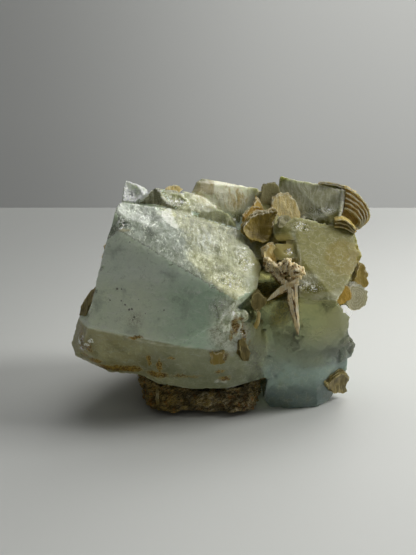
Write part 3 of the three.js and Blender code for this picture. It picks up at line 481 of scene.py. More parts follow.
# Glints: small facets that catch the light, in the broken ground.
glint = marks([
    ((-38.6, -20.4, 20.6), (3.6, 3, 3.6)), ((-0.5, -27, 33), (4.5, 4, 4.5)), ((-12.6, 0, 55.6), (4, 3, 2)),
    ((30.2, 2.5, 52.6), (4.5, 3, 2)), ((22.8, -4.5, 49.4), (4, 3, 1.8)), ((18.8, -11.3, 44), (1.6, 2, 1.6)),
    ((-27.6, 1, 57.6), (5, 4, 4)), ((-27, -17.5, 53.8), (2.8, 3, 3)), ((28, 3, 53), (3, 2, 2)),
    ((2.5, -22, 38.6), (7.5, 4, 3.4)), ((6.5, -13, 42.5), (3, 9, 5)), ((-35.2, -18.5, 30), (2, 4, 7)),
    ((24, -19, 36.5), (5, 3, 2.4)), ((5.4, -24.2, 24), (2.4, 3, 7)),
], bent, 0.3)
# Sparkle and gleam: white specks painted in as highlights.
painted_sparkle = ease(grain(0.36, 2, roughness=0.6), 0.57, 0.63) * (glint | crown * 0.1 | frost_and_edge_sheen * 0.5)
ragged = beryl.shifted(1, 1.1, 5)
painted_gleam = marks([
    ((-39.6, -20.2, 20.3), 1), ((-39, -20.8, 18.6), 0.8), ((-37.4, -22.6, 20.6), 0.9),
    ((-36.6, -22.9, 19), 0.8), ((-35.9, -23.1, 22), 0.8), ((-38.4, -21.8, 22.6), 0.6),
    ((-28.1, -17.1, 54.1), 0.7), ((-27.1, -18.6, 52.8), 0.5), ((3.1, -25.6, 31.1), 0.7),
    ((-11.3, 0.3, 55.6), 0.8), ((-12.8, 0.2, 55.8), 0.6), ((9.3, -5.4, 45.5), 0.6),
    ((8.7, -13.6, 41.2), 0.6), ((2.3, -23.5, 38), 0.6), ((18.8, -10.6, 44.6), 0.6),
    ((21.6, -4.4, 49.2), 0.6),
], ragged, 0.5) * ease(fine, 0.36, 0.5)

# Iron stain in the cracks and along the broken lower edge, and mica specks on the broad face.
stain = marks([
    ((-26, -18.8, 52.2), (2.4, 1.2, 0.6), 0.35), ((-24.2, -25.2, 23.8), (1.7, 1.2, 0.8), 1),
    ((-22.6, -26.2, 24.2), (2.2, 1.4, 1.1), 1), ((-38.9, -19.6, 22.5), (0.7, 1.6, 5), 0.6),
    ((-38.2, -19.6, 16.4), (3, 1.6, 0.8), 0.8), ((-35.6, -20.4, 14.8), (3, 2.2, 1.2), 0.9),
    ((-33.1, -19.6, 12.8), (3.2, 2.8, 1.4), 0.9), ((-29.8, -20, 12.6), (4, 2.8, 1.5), 1),
    ((-25.6, -20.6, 12.6), (4.4, 2.8, 1.6), 1), ((-20.1, -23.4, 16.4), (0.9, 1.4, 3), 0.95),
    ((-17.2, -23.4, 14.8), (0.9, 1.6, 3.6), 0.9), ((-13.8, -24.8, 17.6), (1.5, 1.2, 0.8), 0.9),
    ((-18, -22.4, 11.8), (4.4, 2.8, 1.7), 0.8), ((0.5, -22.8, 10.8), (2.6, 2, 1), 0.9),
    ((-10, -23.6, 11.6), (6, 2.6, 0.8), 0.5), ((-0.5, -24.6, 17.8), (3.4, 1.6, 2.6), 0.6),
    ((-0.5, -23.8, 13.2), (1.8, 1.4, 0.7), 0.9), ((5, -24.8, 29.2), (1, 1.4, 0.9), 0.9),
    ((3.6, -25.4, 27.5), (1.3, 2, 4), 0.7), ((6, -24.6, 26), (1.2, 2, 3.2), 0.8),
    ((2.6, -25.8, 25), (0.8, 2, 3), 0.6), ((7.9, -23.6, 21), (0.8, 1.6, 3.4), 0.7),
    ((-38.6, -20.6, 21.5), (1.6, 2, 5), 0.5), ((-36.8, -22.6, 19), (1.4, 1.5, 3), 0.6),
    ((7.6, -22.8, 18.1), (0.7, 1, 0.8), 1), ((5.6, -23.6, 22.6), (1.8, 1.6, 5), 0.75),
], ragged, 0.35)
stain = stain * 1.9 * ease(fine * 0.6 + wisp * 0.4, 0.36, 0.54)
stain = beryl.add("Clamp", None, (stain, 0, 1))
faint = patch((-23.6, -25.4, 28.8), (3.6, 2, 4.2), ragged, 0.2) * ease(fine, 0.42, 0.62)
SPECKS = [
    (-28.2, -23.4, 37.2, 0.42), (-27, -23.5, 37.2, 0.25), (-30.2, -23.6, 34.1, 0.3),
    (-27.1, -24.1, 34.1, 0.28), (-26.1, -24.4, 33.1, 0.34), (-25, -24.8, 31.8, 0.4),
    (-24.3, -24.9, 32, 0.42), (-23.6, -25.4, 29.8, 0.42), (-15.6, -26, 32.1, 0.26), (-24, -25.4, 29.1, 0.3),
    (-20.6, -25.6, 31, 0.2), (-22.4, -25.2, 34.6, 0.2),
]
specks = marks([(tuple(at), (size, 1.2, size)) for *at, size in SPECKS], beryl.shifted(0.15, 0.6), 0.4)

# Colour, from the broad grey-green face round to the olive crystal and the blue foot.
ghost = marks([((-19.9, -23.6, 40), (9, 4, 1.3)), ((-8, -25, 37.4), (7, 4, 0.9))], bent, 0.1)
face = coats(
    blend((0.77, 0.83, 0.64), (0.52, 0.68, 0.5), ease(x, -24, -6)),
    ((0.8, 0.87, 0.77), ease(z, 36, 42) * 0.7),
    ((0.5, 0.58, 0.48), ease(cloud * 0.7 + scratches * 0.3, 0.54, 0.38) * 0.35),
    ((0.96, 0.97, 0.9), ease(scratches, 0.56, 0.7) * ease(cloud, 0.42, 0.58) * 0.3),
    ((0.97, 0.98, 0.92), ghost * ease(wisp, 0.44, 0.6) * 0.5))
lower = coats(
    blend((0.55, 0.5, 0.23), (0.42, 0.44, 0.25), ease(x, -30, -6)),
    ((0.5, 0.42, 0.16), patch((-37, -21, 22), (6, 5, 7), bent, 0.3) * 0.8))
olive = coats(
    blend((0.26, 0.25, 0.08), (0.225, 0.21, 0.06), ease(z, 30, 36)),
    ((0.2, 0.21, 0.085), patch((26, -13, 40), (9, 9, 7), bent, 1)),
    ((0.24, 0.19, 0.025), patch((35.5, -8.5, 41.5), (8, 9, 6), bent, 0.7)),
    ((0.4, 0.37, 0.16), ease(crumbly, 0.48, 0.66) * 0.34),
    ((0.36, 0.2, 0.02), ease(fine, 0.62, 0.7) * ease(x, 29, 34) * 0.6))
clear_side = blend((0.4, 0.45, 0.35), (0.68, 0.75, 0.62), ease(combed * 0.4 + soft * 0.6, 0.38, 0.64))
brushed = ease(combed * 0.5 + soft * 0.5, 0.42, 0.6)
milky_side = coats(
    blend((0.24, 0.25, 0.1), (0.54, 0.55, 0.31), ease(combed * 0.35 + soft * 0.65, 0.38, 0.6)),
    ((0.74, 0.77, 0.7), patch((-5, -12, 47.5), (6, 8, 5), bent, 0.1) * brushed * 0.9),
    ((0.72, 0.66, 0.26), patch((2, -23, 38.5), (7, 4, 4), bent, 0.3) * ease(wisp, 0.42, 0.6) * 0.7),
    ((0.46, 0.42, 0.14), patch((7.6, -13, 41.5), (3.4, 9, 7), bent, 0.3) * ease(wisp, 0.36, 0.54) * 0.8))
haze = blend((0.52, 0.56, 0.48), (0.34, 0.32, 0.12), right)
crackle = blend((0.24, 0.21, 0.07), (0.76, 0.78, 0.62), ease(fine * 0.4 + wisp * 0.6, 0.4, 0.58))
banded = coats(
    blend((0.86, 0.85, 0.66), (0.58, 0.5, 0.27), ease(streak * 0.6 + soft * 0.4, 0.5, 0.62)),
    ((0.56, 0.43, 0.16), patch((4.5, 6, 55), (4.5, 8, 5.5), bent, 0.2) * ease(streak, 0.4, 0.56) * 0.8))
# The colour of the painted shade on the dark facets.
facet_shade = blend((0.07, 0.07, 0.03), (0.15, 0.15, 0.08), ease(streak, 0.44, 0.6))
rust = blend((0.52, 0.31, 0.025), (0.13, 0.075, 0.006), ease(wisp * 0.4 + fine * 0.6, 0.42, 0.54))
shade = coats(
    blend(face, lower, below),
    (olive, right),
    ((0.11, 0.13, 0.08), right * ease(z, 25, 16)),
    ((0.29, 0.4, 0.355), foot),
    (blend(clear_side, milky_side, veil), crown),
    ((0.92, 0.94, 0.84), pale_threads * crown * (0.7 - 0.3 * veil)),
    ((0.16, 0.18, 0.1), dark_threads * crown * 0.45),
    ((0.86, 0.88, 0.78), levels * (1 - 0.5 * right) * 0.28),
    (blend((0.34, 0.335, 0.2), (0.53, 0.53, 0.39), smoke), smoky),
    (haze, (cloud - 0.48) * 1.5),
    (haze, ease(wisp, 0.5, 0.75) * 0.35),
    ((0.06, 0.07, 0.04), ease(cloud, 0.48, 0.25) * (0.35 - 0.25 * right)),
    ((0.1, 0.1, 0.06), ease(crumbly, 0.48, 0.34) * 0.3 * (1 - crown)),
    (blend((0.085, 0.062, 0.003), (0.52, 0.37, 0.05), ease(crumbly, 0.44, 0.56)), shaded_pocket),
    (crackle, fracture * 0.7),
    (blend((0.8, 0.81, 0.7), (0.68, 0.68, 0.4), crown * veil), frost_and_edge_sheen),
    ((0.05, 0.05, 0.03), ease(streak, 0.44, 0.36) * glint * 0.45),
    ((0.78, 0.76, 0.6), seam_share * 0.8),
    (banded, back_block * 0.9),
    ((0.62, 0.64, 0.6), painted_view_through_tip),
    (blend(facet_shade, (0.38, 0.31, 0.15), back_block), shaded_facets * 0.95),
    ((0.76, 0.77, 0.68), chalky * ease(combed * 0.5 + wisp * 0.5, 0.36, 0.56)),
    (blend((0.38, 0.27, 0.05), rust, ease(stain, 0.2, 0.6)), stain),
    ((0.48, 0.4, 0.12), amber * 0.85),
    ((0.2, 0.16, 0.07), faint * 0.55),
    ((0.05, 0.04, 0.02), specks * 0.8),
    ((0.96, 0.97, 0.93), painted_sparkle | painted_gleam))

# What the clear stone lets through, zone by zone.
tint = coats(
    blend((0.84, 0.86, 0.78), (0.74, 0.85, 0.8), ease(x, -22, -4)),
    ((0.56, 0.55, 0.36), below),
    ((0.66, 0.63, 0.26), right),
    ((0.5, 0.53, 0.34), right * ease(z, 25, 16)),
    ((0.62, 0.76, 0.7), foot),
    ((0.66, 0.6, 0.34), fracture),
    (blend((0.86, 0.92, 0.9), (0.94, 0.93, 0.78), veil), crown),
    (blend((0.6, 0.6, 0.44), (0.8, 0.8, 0.64), smoke), smoky),
    ((0.26, 0.19, 0.02), shaded_pocket * 0.9),
    ((0.78, 0.62, 0.22), amber))

# Surface: glossy growth faces, dull broken ones, with rings where the crown broke like glass.
rings_at = beryl.add("VectorMath", {"operation": "SUBTRACT"}, (bent, (-31, -2, 62)))
rings = {"Vector": rings_at, "Scale": 0.16, "Distortion": 3.5, "Detail": 4}
rings = beryl.add("TexWave", {"wave_type": "RINGS", "rings_direction": "SPHERICAL"}, rings, 1)
relief = (cloud * 0.22 + wisp * 0.1) * (1 - 0.6 * high_right) + crown * ease(x, -8, -14) * rings * 0.035
relief = relief + frost_and_edge_sheen * fine * 0.14 + crown * (streak * 0.04 + combed * 0.08)
relief = relief + fine * 0.04 * (1 - crown) + wisp * 0.03 * right
crumbs = beryl.add("TexVoronoi", None, {"Vector": beryl.shifted(0.5, 0.8, 3), "Scale": 1.1}, "Color")
broken = (0.07 + 0.4 * frost_and_edge_sheen + 0.04 * crown) * (1 - 0.8 * high_right) + 0.8 * glint
facing = beryl.add("NewGeometry", outlet="Normal")
facet = beryl.add("VectorMath", {"operation": "ADD"}, (facing, beryl.centred(crumbs, broken)))
facet = beryl.add("VectorMath", {"operation": "NORMALIZE"}, (facet,))
normal = beryl.add("Bump", None, {"Height": relief, "Strength": 1, "Distance": MM, "Normal": facet})
gloss = 0.05 + (0.22 * frost_and_edge_sheen + 0.08 * wisp) * (1 - glint) + 0.2 * stain - 0.02 * crown
gloss = gloss + 0.3 * high_right * (1 - glint)

# How much of the stone is milky, from 0 for clear to 1.
growth = (1 - right) * (1 - crown) * (1 - below)
milk = 0.04 + 0.36 * cloud + 0.2 * painted_view_through_tip + 0.74 * growth + 0.34 * below + crown * (0.3 + 0.14 * veil)
milk = milk + 0.6 * shaded_pocket + 0.6 * back_block + 0.6 * seam_share + 0.6 * frost_and_edge_sheen + 0.9 * stain + specks
milk = milk + 0.75 * high_right + crown * pale_threads * 0.6 + 0.5 * fracture
milk = milk + 0.8 * shaded_facets + 0.7 * chalky + 0.3 * foot + painted_sparkle + painted_gleam
milk = beryl.add("Clamp", None, (milk, 0, 1))
clear = beryl.add("BsdfPrincipled", None, {
    "Base Color": tint, "Roughness": gloss, "IOR": 1.57, "Transmission Weight": 1, "Normal": normal})
cloudy = {
    "Base Color": shade, "IOR": 1.57, "Normal": normal, "Subsurface Weight": 0.5, "Subsurface Scale": 0.004}
milky = beryl.add("BsdfPrincipled", None, {
    **cloudy, "Roughness": gloss, "Specular IOR Level": 0.35, "Subsurface Radius": (0.9, 1, 0.7)})
satin = beryl.add("BsdfPrincipled", None, {
    **cloudy, "Roughness": 0.45, "Specular IOR Level": 0.12, "Subsurface Radius": (0.9, 1, 0.6)})
milky = beryl.add("MixShader", None, {0: high_right * (1 - 0.8 * glint) * 0.85, 1: milky, 2: satin})
body = beryl.add("VolumeAbsorption", None, {"Color": (0.72, 0.76, 0.64), "Density": 30})
beryl.show(beryl.add("MixShader", None, {0: milk, 1: clear, 2: milky}), body)

block = finished("crystal_block", crystals, beryl.material)
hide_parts("aquamarine_crystals")


# ---------------------------------------------------------------- the host rock
# What is left of the pegmatite that the crystals grew on: a dark, rough block of mica and
# feldspar grains, which carries the crystals and is what the specimen rests on.

rock = merged_copy("host_rock")
split_long_edges(rock, 0.7)
rock.normal_update()
middle = sum((v.co for v in rock.verts), Vector()) / len(rock.verts)
shaded_pits, = carry(rock, "shaded_pits")
moves = []
for vert in rock.verts:
    where = vert.co / MM
    slabs = noise.fractal(Vector((where.x * 0.22 - where.z * 0.5, where.y * 0.3, where.z * 0.9)), 0.9, 2.1, 4)
    lumps = noise.fractal(where * 0.35, 0.9, 2.1, 4)
    depth = lumps * 0.9 + slabs * 0.9 - 0.5
    vert[shaded_pits] = clamped(0.5 - depth * 0.7)
    inward = Vector((middle.x - vert.co.x, middle.y - vert.co.y, 0)).normalized()
    wander = noise.noise(Vector((where.x * 0.25, where.y * 0.25, 0)))
    undercut = max(0, 1 - where.z / 1.5) ** 1.5 * (4 + 2 * wander)
    belly = max(0, -vert.normal.y) * fading(where.z - 2.6, 3.2) * (3.2 + 2 * wander)
    moves.append(vert.normal * depth * MM + inward * undercut * MM + Vector((0, -belly, 0)) * MM)
for vert, move in zip(rock.verts, moves):
    floor = vert.co.z < 0.3 * MM
    vert.co += Vector((move.x, move.y, 0)) if floor else move
    vert.co.z = max(vert.co.z, 0)
crease(rock, 35)

gangue = Stone("host rock")
lumps = gangue.grain(2.2, 5, roughness=0.75)
grit = gangue.grain(0.8, 4, roughness=0.7)
flecks = gangue.add("TexVoronoi", None, {"Vector": gangue.shifted(1, 0.8, 4), "Scale": 0.9}, "Color")
fleck = gangue.add("SeparateColor", None, {"Color": flecks}, "Red")
leaning = {"Vector": gangue.shifted(1.4, 3, 4), "Angle": 0.35}
leaning = gangue.add("VectorRotate", {"rotation_type": "Y_AXIS"}, leaning)
plates = gangue.grain(0.9, 5, leaning, (0.35, 0.5, 1.4), roughness=0.75)
fibres = gangue.grain(0.45, 5, leaning, (0.35, 0.5, 1.2), roughness=0.8)
splits = gangue.grain(1.8, 5, leaning, (0.45, 0.5, 1.2), roughness=0.7)
straws = gangue.grain(1.1, 5, leaning, (0.3, 0.5, 1.3), roughness=0.7)
eastward = ease(gangue.axis("X"), -16, -3)
straws = ease(abs(straws - 0.52), 0.018, 0) * (0.3 + 0.7 * eastward)
tan = ease(plates * 0.3 + fibres * 0.5 + grit * 0.2, 0.46, 0.62) * (0.3 + 0.7 * eastward)
# Painted shade: near black in the pits.
deep = ease(gangue.carried("shaded_pits") + (grit - 0.5) * 0.4 + (plates - 0.5) * -0.8, 0.7, 1.1)
tone = coats(
    blend((0.08, 0.048, 0.003), (0.54, 0.37, 0.07), ease(lumps * 0.2 + fibres * 0.8, 0.4, 0.62)),
    (blend((0.9, 0.7, 0.31), (0.95, 0.83, 0.56), grit), tan),
    ((0.88, 0.82, 0.64), ease(plates * 0.6 + grit * 0.4, 0.56, 0.66) * eastward),
    ((0.012, 0.008, 0.001), ease(abs(splits - 0.46), 0.03, 0) * 0.85),
    ((0.96, 0.86, 0.62), straws * 0.8),
    ((0.5, 0.2, 0.025), ease(fleck, 0.16, 0.08) * ease(grit, 0.4, 0.6) * 0.8),
    ((0.01, 0.007, 0.001), deep * 0.7))
bumps = lumps * 0.5 + grit * 0.25 + plates * 1 + fibres * 0.5 + straws * 0.15
normal = gangue.add("Bump", None, {"Height": bumps, "Strength": 1, "Distance": MM})
gangue.show(gangue.add("BsdfPrincipled", None, {
    "Base Color": tone, "Roughness": 0.7 - 0.35 * ease(fleck, 0.6, 0.9), "Normal": normal,
    "Specular IOR Level": 0.3}))
matrix = finished("pegmatite", rock, gangue.material)
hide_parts("host_rock")


# ---------------------------------------------------------------- the mica books and flakes
# Muscovite: stacks of thin, springy sheets. Each book is cut from the room that it fills into its
# sheets, whose edges wander and whose faces wave a little.

BOOKS = {
    # book: kind, sheets, wave, how far the middle is dished, and the outline of its open side in mm
    "golden_flake": ("golden", 6, 0.12, 0, [
        (15.3, 5.9, 56.1), (16.8, 6.5, 56.9), (18.9, 6.6, 57.2), (19.9, 6.5, 57.1), (20.6, 5.9, 56.3),
        (21.7, 5, 55.3), (22.4, 4.1, 54.1), (22.9, 2.9, 52.6), (22.9, 1.5, 50.7), (21, 1.3, 50.5),
        (19.5, 1.2, 50.2), (18.1, 1.9, 51.1), (16.6, 1.6, 50.5), (15.5, 0.8, 49.5), (14.7, 1.8, 50.8),
        (14.6, 3.6, 53.1), (14.8, 5, 54.8)]),
    "back_flake": ("olive", 4, 0.14, 0.2, [
        (12.6, 7.8, 59.3), (13.6, 8, 59.7), (15.4, 8, 59.8), (16.4, 7.8, 59.2), (17, 7.5, 58.2),
        (16.9, 6.8, 55.9), (16, 6.2, 54), (15.5, 5.8, 52.5), (13.9, 5.6, 52), (12.3, 5.8, 52.5),
        (11.4, 6.3, 54.2), (11.3, 6.9, 56.2), (11.8, 7.4, 57.9)]),
    "cupped_book": ("cupped", 6, 0.25, 1.6, [
        (5.4, -4.3, 48.3), (5.8, -3, 49.9), (6.8, -1.9, 51.3), (8.3, -0.9, 52.5), (10, -0.1, 53.2),
        (11.8, 0.1, 53.3), (13.2, 0.3, 53.4), (14.4, 0.8, 53.9), (15.4, 0.9, 53.8), (15.9, 0.4, 53.1),
        (15.5, -0.5, 52), (14.6, -1.7, 50.5), (14.3, -2.9, 49), (13.8, -4, 47.5), (12.9, -5.4, 45.8),
        (11.3, -6.1, 45.1), (9.6, -5.6, 46), (8.1, -5.8, 45.9), (6.7, -5.2, 46.9)]),
    "orange_flake": ("amber", 4, 0.2, 0.2, [
        (6.1, 0.1, 52), (6.9, 0.7, 52.7), (8.1, 1.4, 53.6), (9.3, 2, 54.2), (10.4, 2.2, 54),
        (11.6, 2.1, 53.6), (12, 1.7, 52.8), (10.4, 1.2, 52.4), (8.6, 0.4, 51.7), (7.3, -0.4, 50.7),
        (6.5, -1.3, 49.5), (6.1, -0.8, 50.5)]),
    "orange_tip": ("amber", 3, 0.2, 0.2, [
        (8.9, 3.2, 52.9), (9.4, 4, 54), (9.8, 4.8, 55.3), (10.3, 5.6, 56.5), (11, 5.1, 55.3),
        (11.4, 4.5, 54.2), (12, 4, 53.3), (10.8, 3.4, 52.5)]),
    "olive_flake": ("olive", 4, 0.1, 0.1, [
        (15.9, -5.2, 51.1), (16.2, -4.6, 51.9), (16.9, -4, 52.6), (18, -3.8, 52.8), (18.9, -4.1, 52.2),
        (19.2, -4.5, 51.6), (18.3, -4.9, 51.1), (17.5, -5.3, 50.7), (16.7, -6, 49.8), (16, -6.1, 49.7),
        (15.7, -5.7, 50.3)]),
    "amber_book": ("golden", 6, 0.35, 0.3, [
        (11.2, -9.6, 44.5), (12.1, -9.1, 45.4), (13.2, -8.6, 46.1), (14.4, -8.4, 46), (15.2, -8.6, 45),
        (15.6, -9, 43.8), (15.4, -9.7, 42.2), (14.8, -10.3, 41), (14.3, -10.8, 40), (13.2, -11, 40.2),
        (12.3, -10.8, 40.9), (11.8, -10.5, 42.1), (11.4, -10.1, 43.3)]),
    "pocket_flake": ("dark", 3, 0.12, 0.2, [
        (7.9, -21, 33.3), (8.1, -20.7, 34.7), (8.8, -20.4, 35.9), (9.8, -20.2, 36.1), (10.5, -20.2, 35.1),
        (11.2, -20.2, 34.2), (12.3, -20.1, 33.6), (11.9, -20.3, 32.5), (10.8, -20.7, 31.3),
        (9.6, -21.1, 30.2), (8.9, -21.2, 30.4), (8.3, -21.1, 31.8)]),
    "pale_curl": ("worn", 2, 0.1, 0.2, [
        (9.1, -21.5, 30.6), (9.7, -21.4, 30.7), (10.3, -21.4, 29.7), (10.4, -21.5, 28.4),
        (10.1, -21.7, 27.3), (9.5, -21.9, 26.4), (9.3, -22, 25.3), (8.6, -22.2, 25.6), (8.9, -22, 26.7),
        (9.4, -21.8, 27.8), (9.6, -21.6, 29.1)]),
    "right_edge_book": ("worn", 4, 0.12, 0.2, [
        (38.5, -9, 40.6), (39.5, -8.8, 40.1), (40.3, -8.7, 39.1), (40.7, -8.9, 37.5), (40.8, -9.2, 36.1),
        (41.2, -9.4, 34.7), (40.9, -9.8, 33.7), (39.8, -10.2, 33.7), (38.5, -10.6, 34.5),
        (36.5, -11.2, 35.3), (36.3, -11, 36.1), (37.1, -10.5, 37.1), (37.6, -9.8, 38.8)]),
    "clear_book": ("pale", 5, 0.12, 0.2, [
        (34.7, -13.7, 35.3), (36, -12.9, 35.8), (37.6, -12.2, 35.4), (39.4, -11.6, 34.5),
        (40.2, -11.5, 33.3), (40.4, -12, 31.5), (39.9, -12.7, 30.1), (39, -13.5, 29), (37.8, -14.3, 28.3),
        (36.2, -15, 28.4), (34.8, -15.4, 29.3), (33.8, -15.6, 30.7), (34.2, -15, 31.9),
        (34.8, -14.1, 33.7)]),
    "diamond_flake": ("amber", 3, 0.1, 0.1, [
        (33.5, -15.8, 36.2), (34.5, -15.4, 35.9), (35.4, -15.4, 34.9), (35.9, -15.6, 33.6),
        (35.4, -16.4, 32.1), (34, -17.2, 31.4), (32.6, -17.9, 30.9), (31.4, -18.2, 31.3), (31, -17.9, 32.7),
        (31.4, -17.3, 34.1), (32.3, -16.5, 35.3)]),
    "flash_flake": ("bright", 2, 0.02, 0, [
        (33.1, -18.5, 30.5), (33.6, -18.3, 30.9), (34.5, -18.3, 30.5), (35.4, -18.4, 29.5),
        (35.5, -18.6, 28.5), (34.9, -18.9, 28.1), (33.9, -18.9, 28.6), (33.1, -18.8, 29.6)]),
    "lower_right_book": ("dark", 7, 0.4, 0.3, [
        (29.1, -19.8, 8.4), (30.1, -19, 8.7), (31.1, -18.3, 9.6), (32.5, -17.2, 10.2), (33.8, -16.2, 10.5),
        (35.6, -14.4, 9.4), (37, -12.8, 7.2), (36.4, -13, 5.9), (36.1, -12.9, 4.3), (36.8, -12, 2.5),
        (35.4, -13, 2.2), (33.7, -14.8, 3.4), (31.9, -16.4, 4), (30.7, -17.8, 5.6), (29.4, -19.2, 7.1)]),
    "seam_book": ("dark", 4, 0.3, 0.3, [
        (4.7, -23.6, 24.2), (5.5, -23.7, 23.1), (6.2, -23.7, 22), (7, -23.8, 20.2), (7.1, -24.1, 18.6),
        (6.5, -24.6, 17.2), (5.2, -25, 17.2), (4.4, -24.9, 18.6), (4.1, -24.6, 20.8), (3.9, -24.3, 22.8)]),
    "face_flake": ("worn", 3, 0.1, 0.1, [
        (-3.7, -25.6, 19.9), (-2.8, -25.4, 20.3), (-2, -25.4, 19.7), (-0.9, -25.3, 20.1),
        (0.4, -25.2, 20.2), (0.6, -25.3, 18.9), (0.1, -25.4, 18), (0.5, -25.5, 17.1), (-0.5, -25.7, 16.4),
        (-1.3, -25.7, 16.9), (-2.4, -25.9, 16.4), (-3.5, -26, 16.9), (-3.1, -25.8, 18.2)]),
    "left_edge_flakes": ("dark", 5, 0.16, 0.2, [
        (-33.9, -19.9, 37.2), (-34.9, -18.9, 36.1), (-36.1, -17.7, 35), (-37.3, -16.7, 33),
        (-38.5, -15.6, 31), (-39.2, -15.2, 29.2), (-39.7, -14.9, 27.3), (-39.2, -15.7, 26.4),
        (-38.1, -17, 26.7), (-37.3, -17.5, 28.6), (-36.5, -18.1, 31), (-35.4, -18.9, 33),
        (-34.1, -19.9, 35.7)]),
    "crown_flake": ("golden", 3, 0.1, 0.2, [
        (-16.7, 4.3, 58.3), (-15.5, 5.2, 59.1), (-14.1, 5.7, 59.4), (-12.3, 5.5, 59.1), (-11.4, 4.8, 58.3),
        (-12.6, 4, 57.6), (-14.9, 3.7, 57.5)]),
    "host_blade": ("worn", 4, 0.1, 0, None),
    "back_rosette": ("golden", 8, 0.3, 0.8, None),
    "back_left_book": ("golden", 8, 0.25, 0.5, None),
    "back_right_book": ("golden", 8, 0.25, 0.5, None),
}


def mica(kind, light, deep, edge, clear, ringed, lined, painted_glow):
    """Pearly sheets: streaked along the cleavage, darker where thick, pale and ragged at the rim, with
    painted shade in the hollow.
    """
    sheet = Stone(kind + " mica")
    wave = sheet.grain(1.8, 5, roughness=0.65)
    lines = sheet.grain(0.6, 5, sheet.shifted(0.5, 2.5), (1, 0.14, 0.14), roughness=0.7)
    layer, inward, hollow_shade = (sheet.carried(name) for name in ("layer", "inward", "hollow_shade"))
    step = sheet.add("Math", {"operation": "SINE"}, ((inward + wave * 0.5) * 11,))
    # Painted shade in the hollow of a cupped or recessed sheet.
    dished = blend(deep, (0.06, 0.042, 0.006), ease(wave, 0.4, 0.6))
    tone = coats(
        blend(light, deep, ease(wave * 0.65 + layer * 0.35, 0.36, 0.64)),
        (deep, ease(lines, 0.5, 0.6) * lined),
        (edge, ease(lines, 0.46, 0.38) * lined * 0.5),
        (dished, hollow_shade * ease(wave * 0.8 + lines * 0.2, 0.62, 0.44) * 0.75),
        (edge, ease(step, 0.55, 0.95) * ringed),
        (edge, ease(inward + lines * 0.5, 0.75, 0.35) * ease(wave, 0.4, 0.55)))
    height = wave * 0.3 + lines * 0.22 + step * 0.03 * ringed
    normal = sheet.add("Bump", None, {"Height": height, "Distance": MM})
    return sheet.show(sheet.add("BsdfPrincipled", None, {
        "Base Color": tone, "Roughness": 0.3 + 0.3 * lines, "IOR": 1.58, "Normal": normal,
        "Specular IOR Level": 0.3, "Transmission Weight": clear,
        "Emission Color": light, "Emission Strength": painted_glow,
        "Subsurface Weight": 0.2, "Subsurface Radius": (1, 0.95, 0.7), "Subsurface Scale": 0.001}))


MICA = {kind: mica(kind, *looks) for kind, looks in {
    # kind: light, deep and edge colours, how clear, ringed and lined it is, and its painted glow
    "golden": ((0.94, 0.76, 0.34), (0.62, 0.42, 0.08), (0.95, 0.88, 0.62), 0, 0, 0.6, 0),
    "amber": ((0.95, 0.66, 0.16), (0.52, 0.31, 0.03), (0.97, 0.88, 0.58), 0.1, 0, 0.25, 0),
    "cupped": ((0.78, 0.58, 0.16), (0.3, 0.215, 0.03), (0.95, 0.88, 0.66), 0, 0, 0.12, 0),
    "worn": ((0.82, 0.64, 0.2), (0.44, 0.31, 0.045), (0.9, 0.78, 0.44), 0.3, 0, 0.6, 0),
    "dark": ((0.32, 0.25, 0.07), (0.09, 0.065, 0.01), (0.58, 0.48, 0.2), 0.1, 0, 0.6, 0),
    "curled": ((1, 0.83, 0.42), (0.8, 0.52, 0.13), (1, 0.95, 0.74), 0, 0, 0.4, 0),
    "olive": ((0.62, 0.57, 0.29), (0.4, 0.35, 0.14), (0.8, 0.75, 0.52), 0.3, 0, 0.35, 0),
    "pale": ((0.8, 0.76, 0.5), (0.56, 0.51, 0.27), (0.94, 0.92, 0.78), 0.35, 0.5, 0.3, 0),
    # The flash flake glows: a painted highlight.
    "bright": ((0.95, 0.95, 0.92), (0.9, 0.9, 0.86), (0.98, 0.98, 0.95), 0, 0, 0, 0.35),
}.items()}


def across_the_sheets(book):
    """The way through the stack: the normal that most of the book's surface shares."""
    sums = {}
    for face in book.faces:
        way = face.normal if face.normal.y < 0 else -face.normal
        key = tuple(round(c * 4) for c in way)
        sums[key] = sums.get(key, Vector()) + way * face.calc_area()
    return max(sums.values(), key=lambda way: way.length).normalized()


def thicken(sheet, push):
    """Gives an open sheet its thickness, by drawing it out along `push`."""
    grown = bmesh.ops.extrude_face_region(sheet, geom=sheet.faces[:] + sheet.edges[:], use_keep_orig=True)
    verts = [g for g in grown["geom"] if isinstance(g, bmesh.types.BMVert)]
    bmesh.ops.translate(sheet, verts=verts, vec=push)
    bmesh.ops.recalc_face_normals(sheet, faces=sheet.faces)


def own_outline(book, way, middle):
    """The rim of the room that a book fills, for the books that have no outline of their own."""
    flat = bmesh.new()
    pressed = [v.co - way * (v.co - middle).dot(way) for v in book.verts]
    bmesh.ops.convex_hull(flat, input=[flat.verts.new(point) for point in pressed])
    bmesh.ops.dissolve_limit(flat, angle_limit=0.05, verts=flat.verts, edges=flat.edges)
    face = max(flat.faces, key=lambda f: f.calc_area())
    corners = [v.co / MM for v in face.verts]
    flat.free()
    return corners


CARRIED = ("layer", "inward", "hollow_shade")


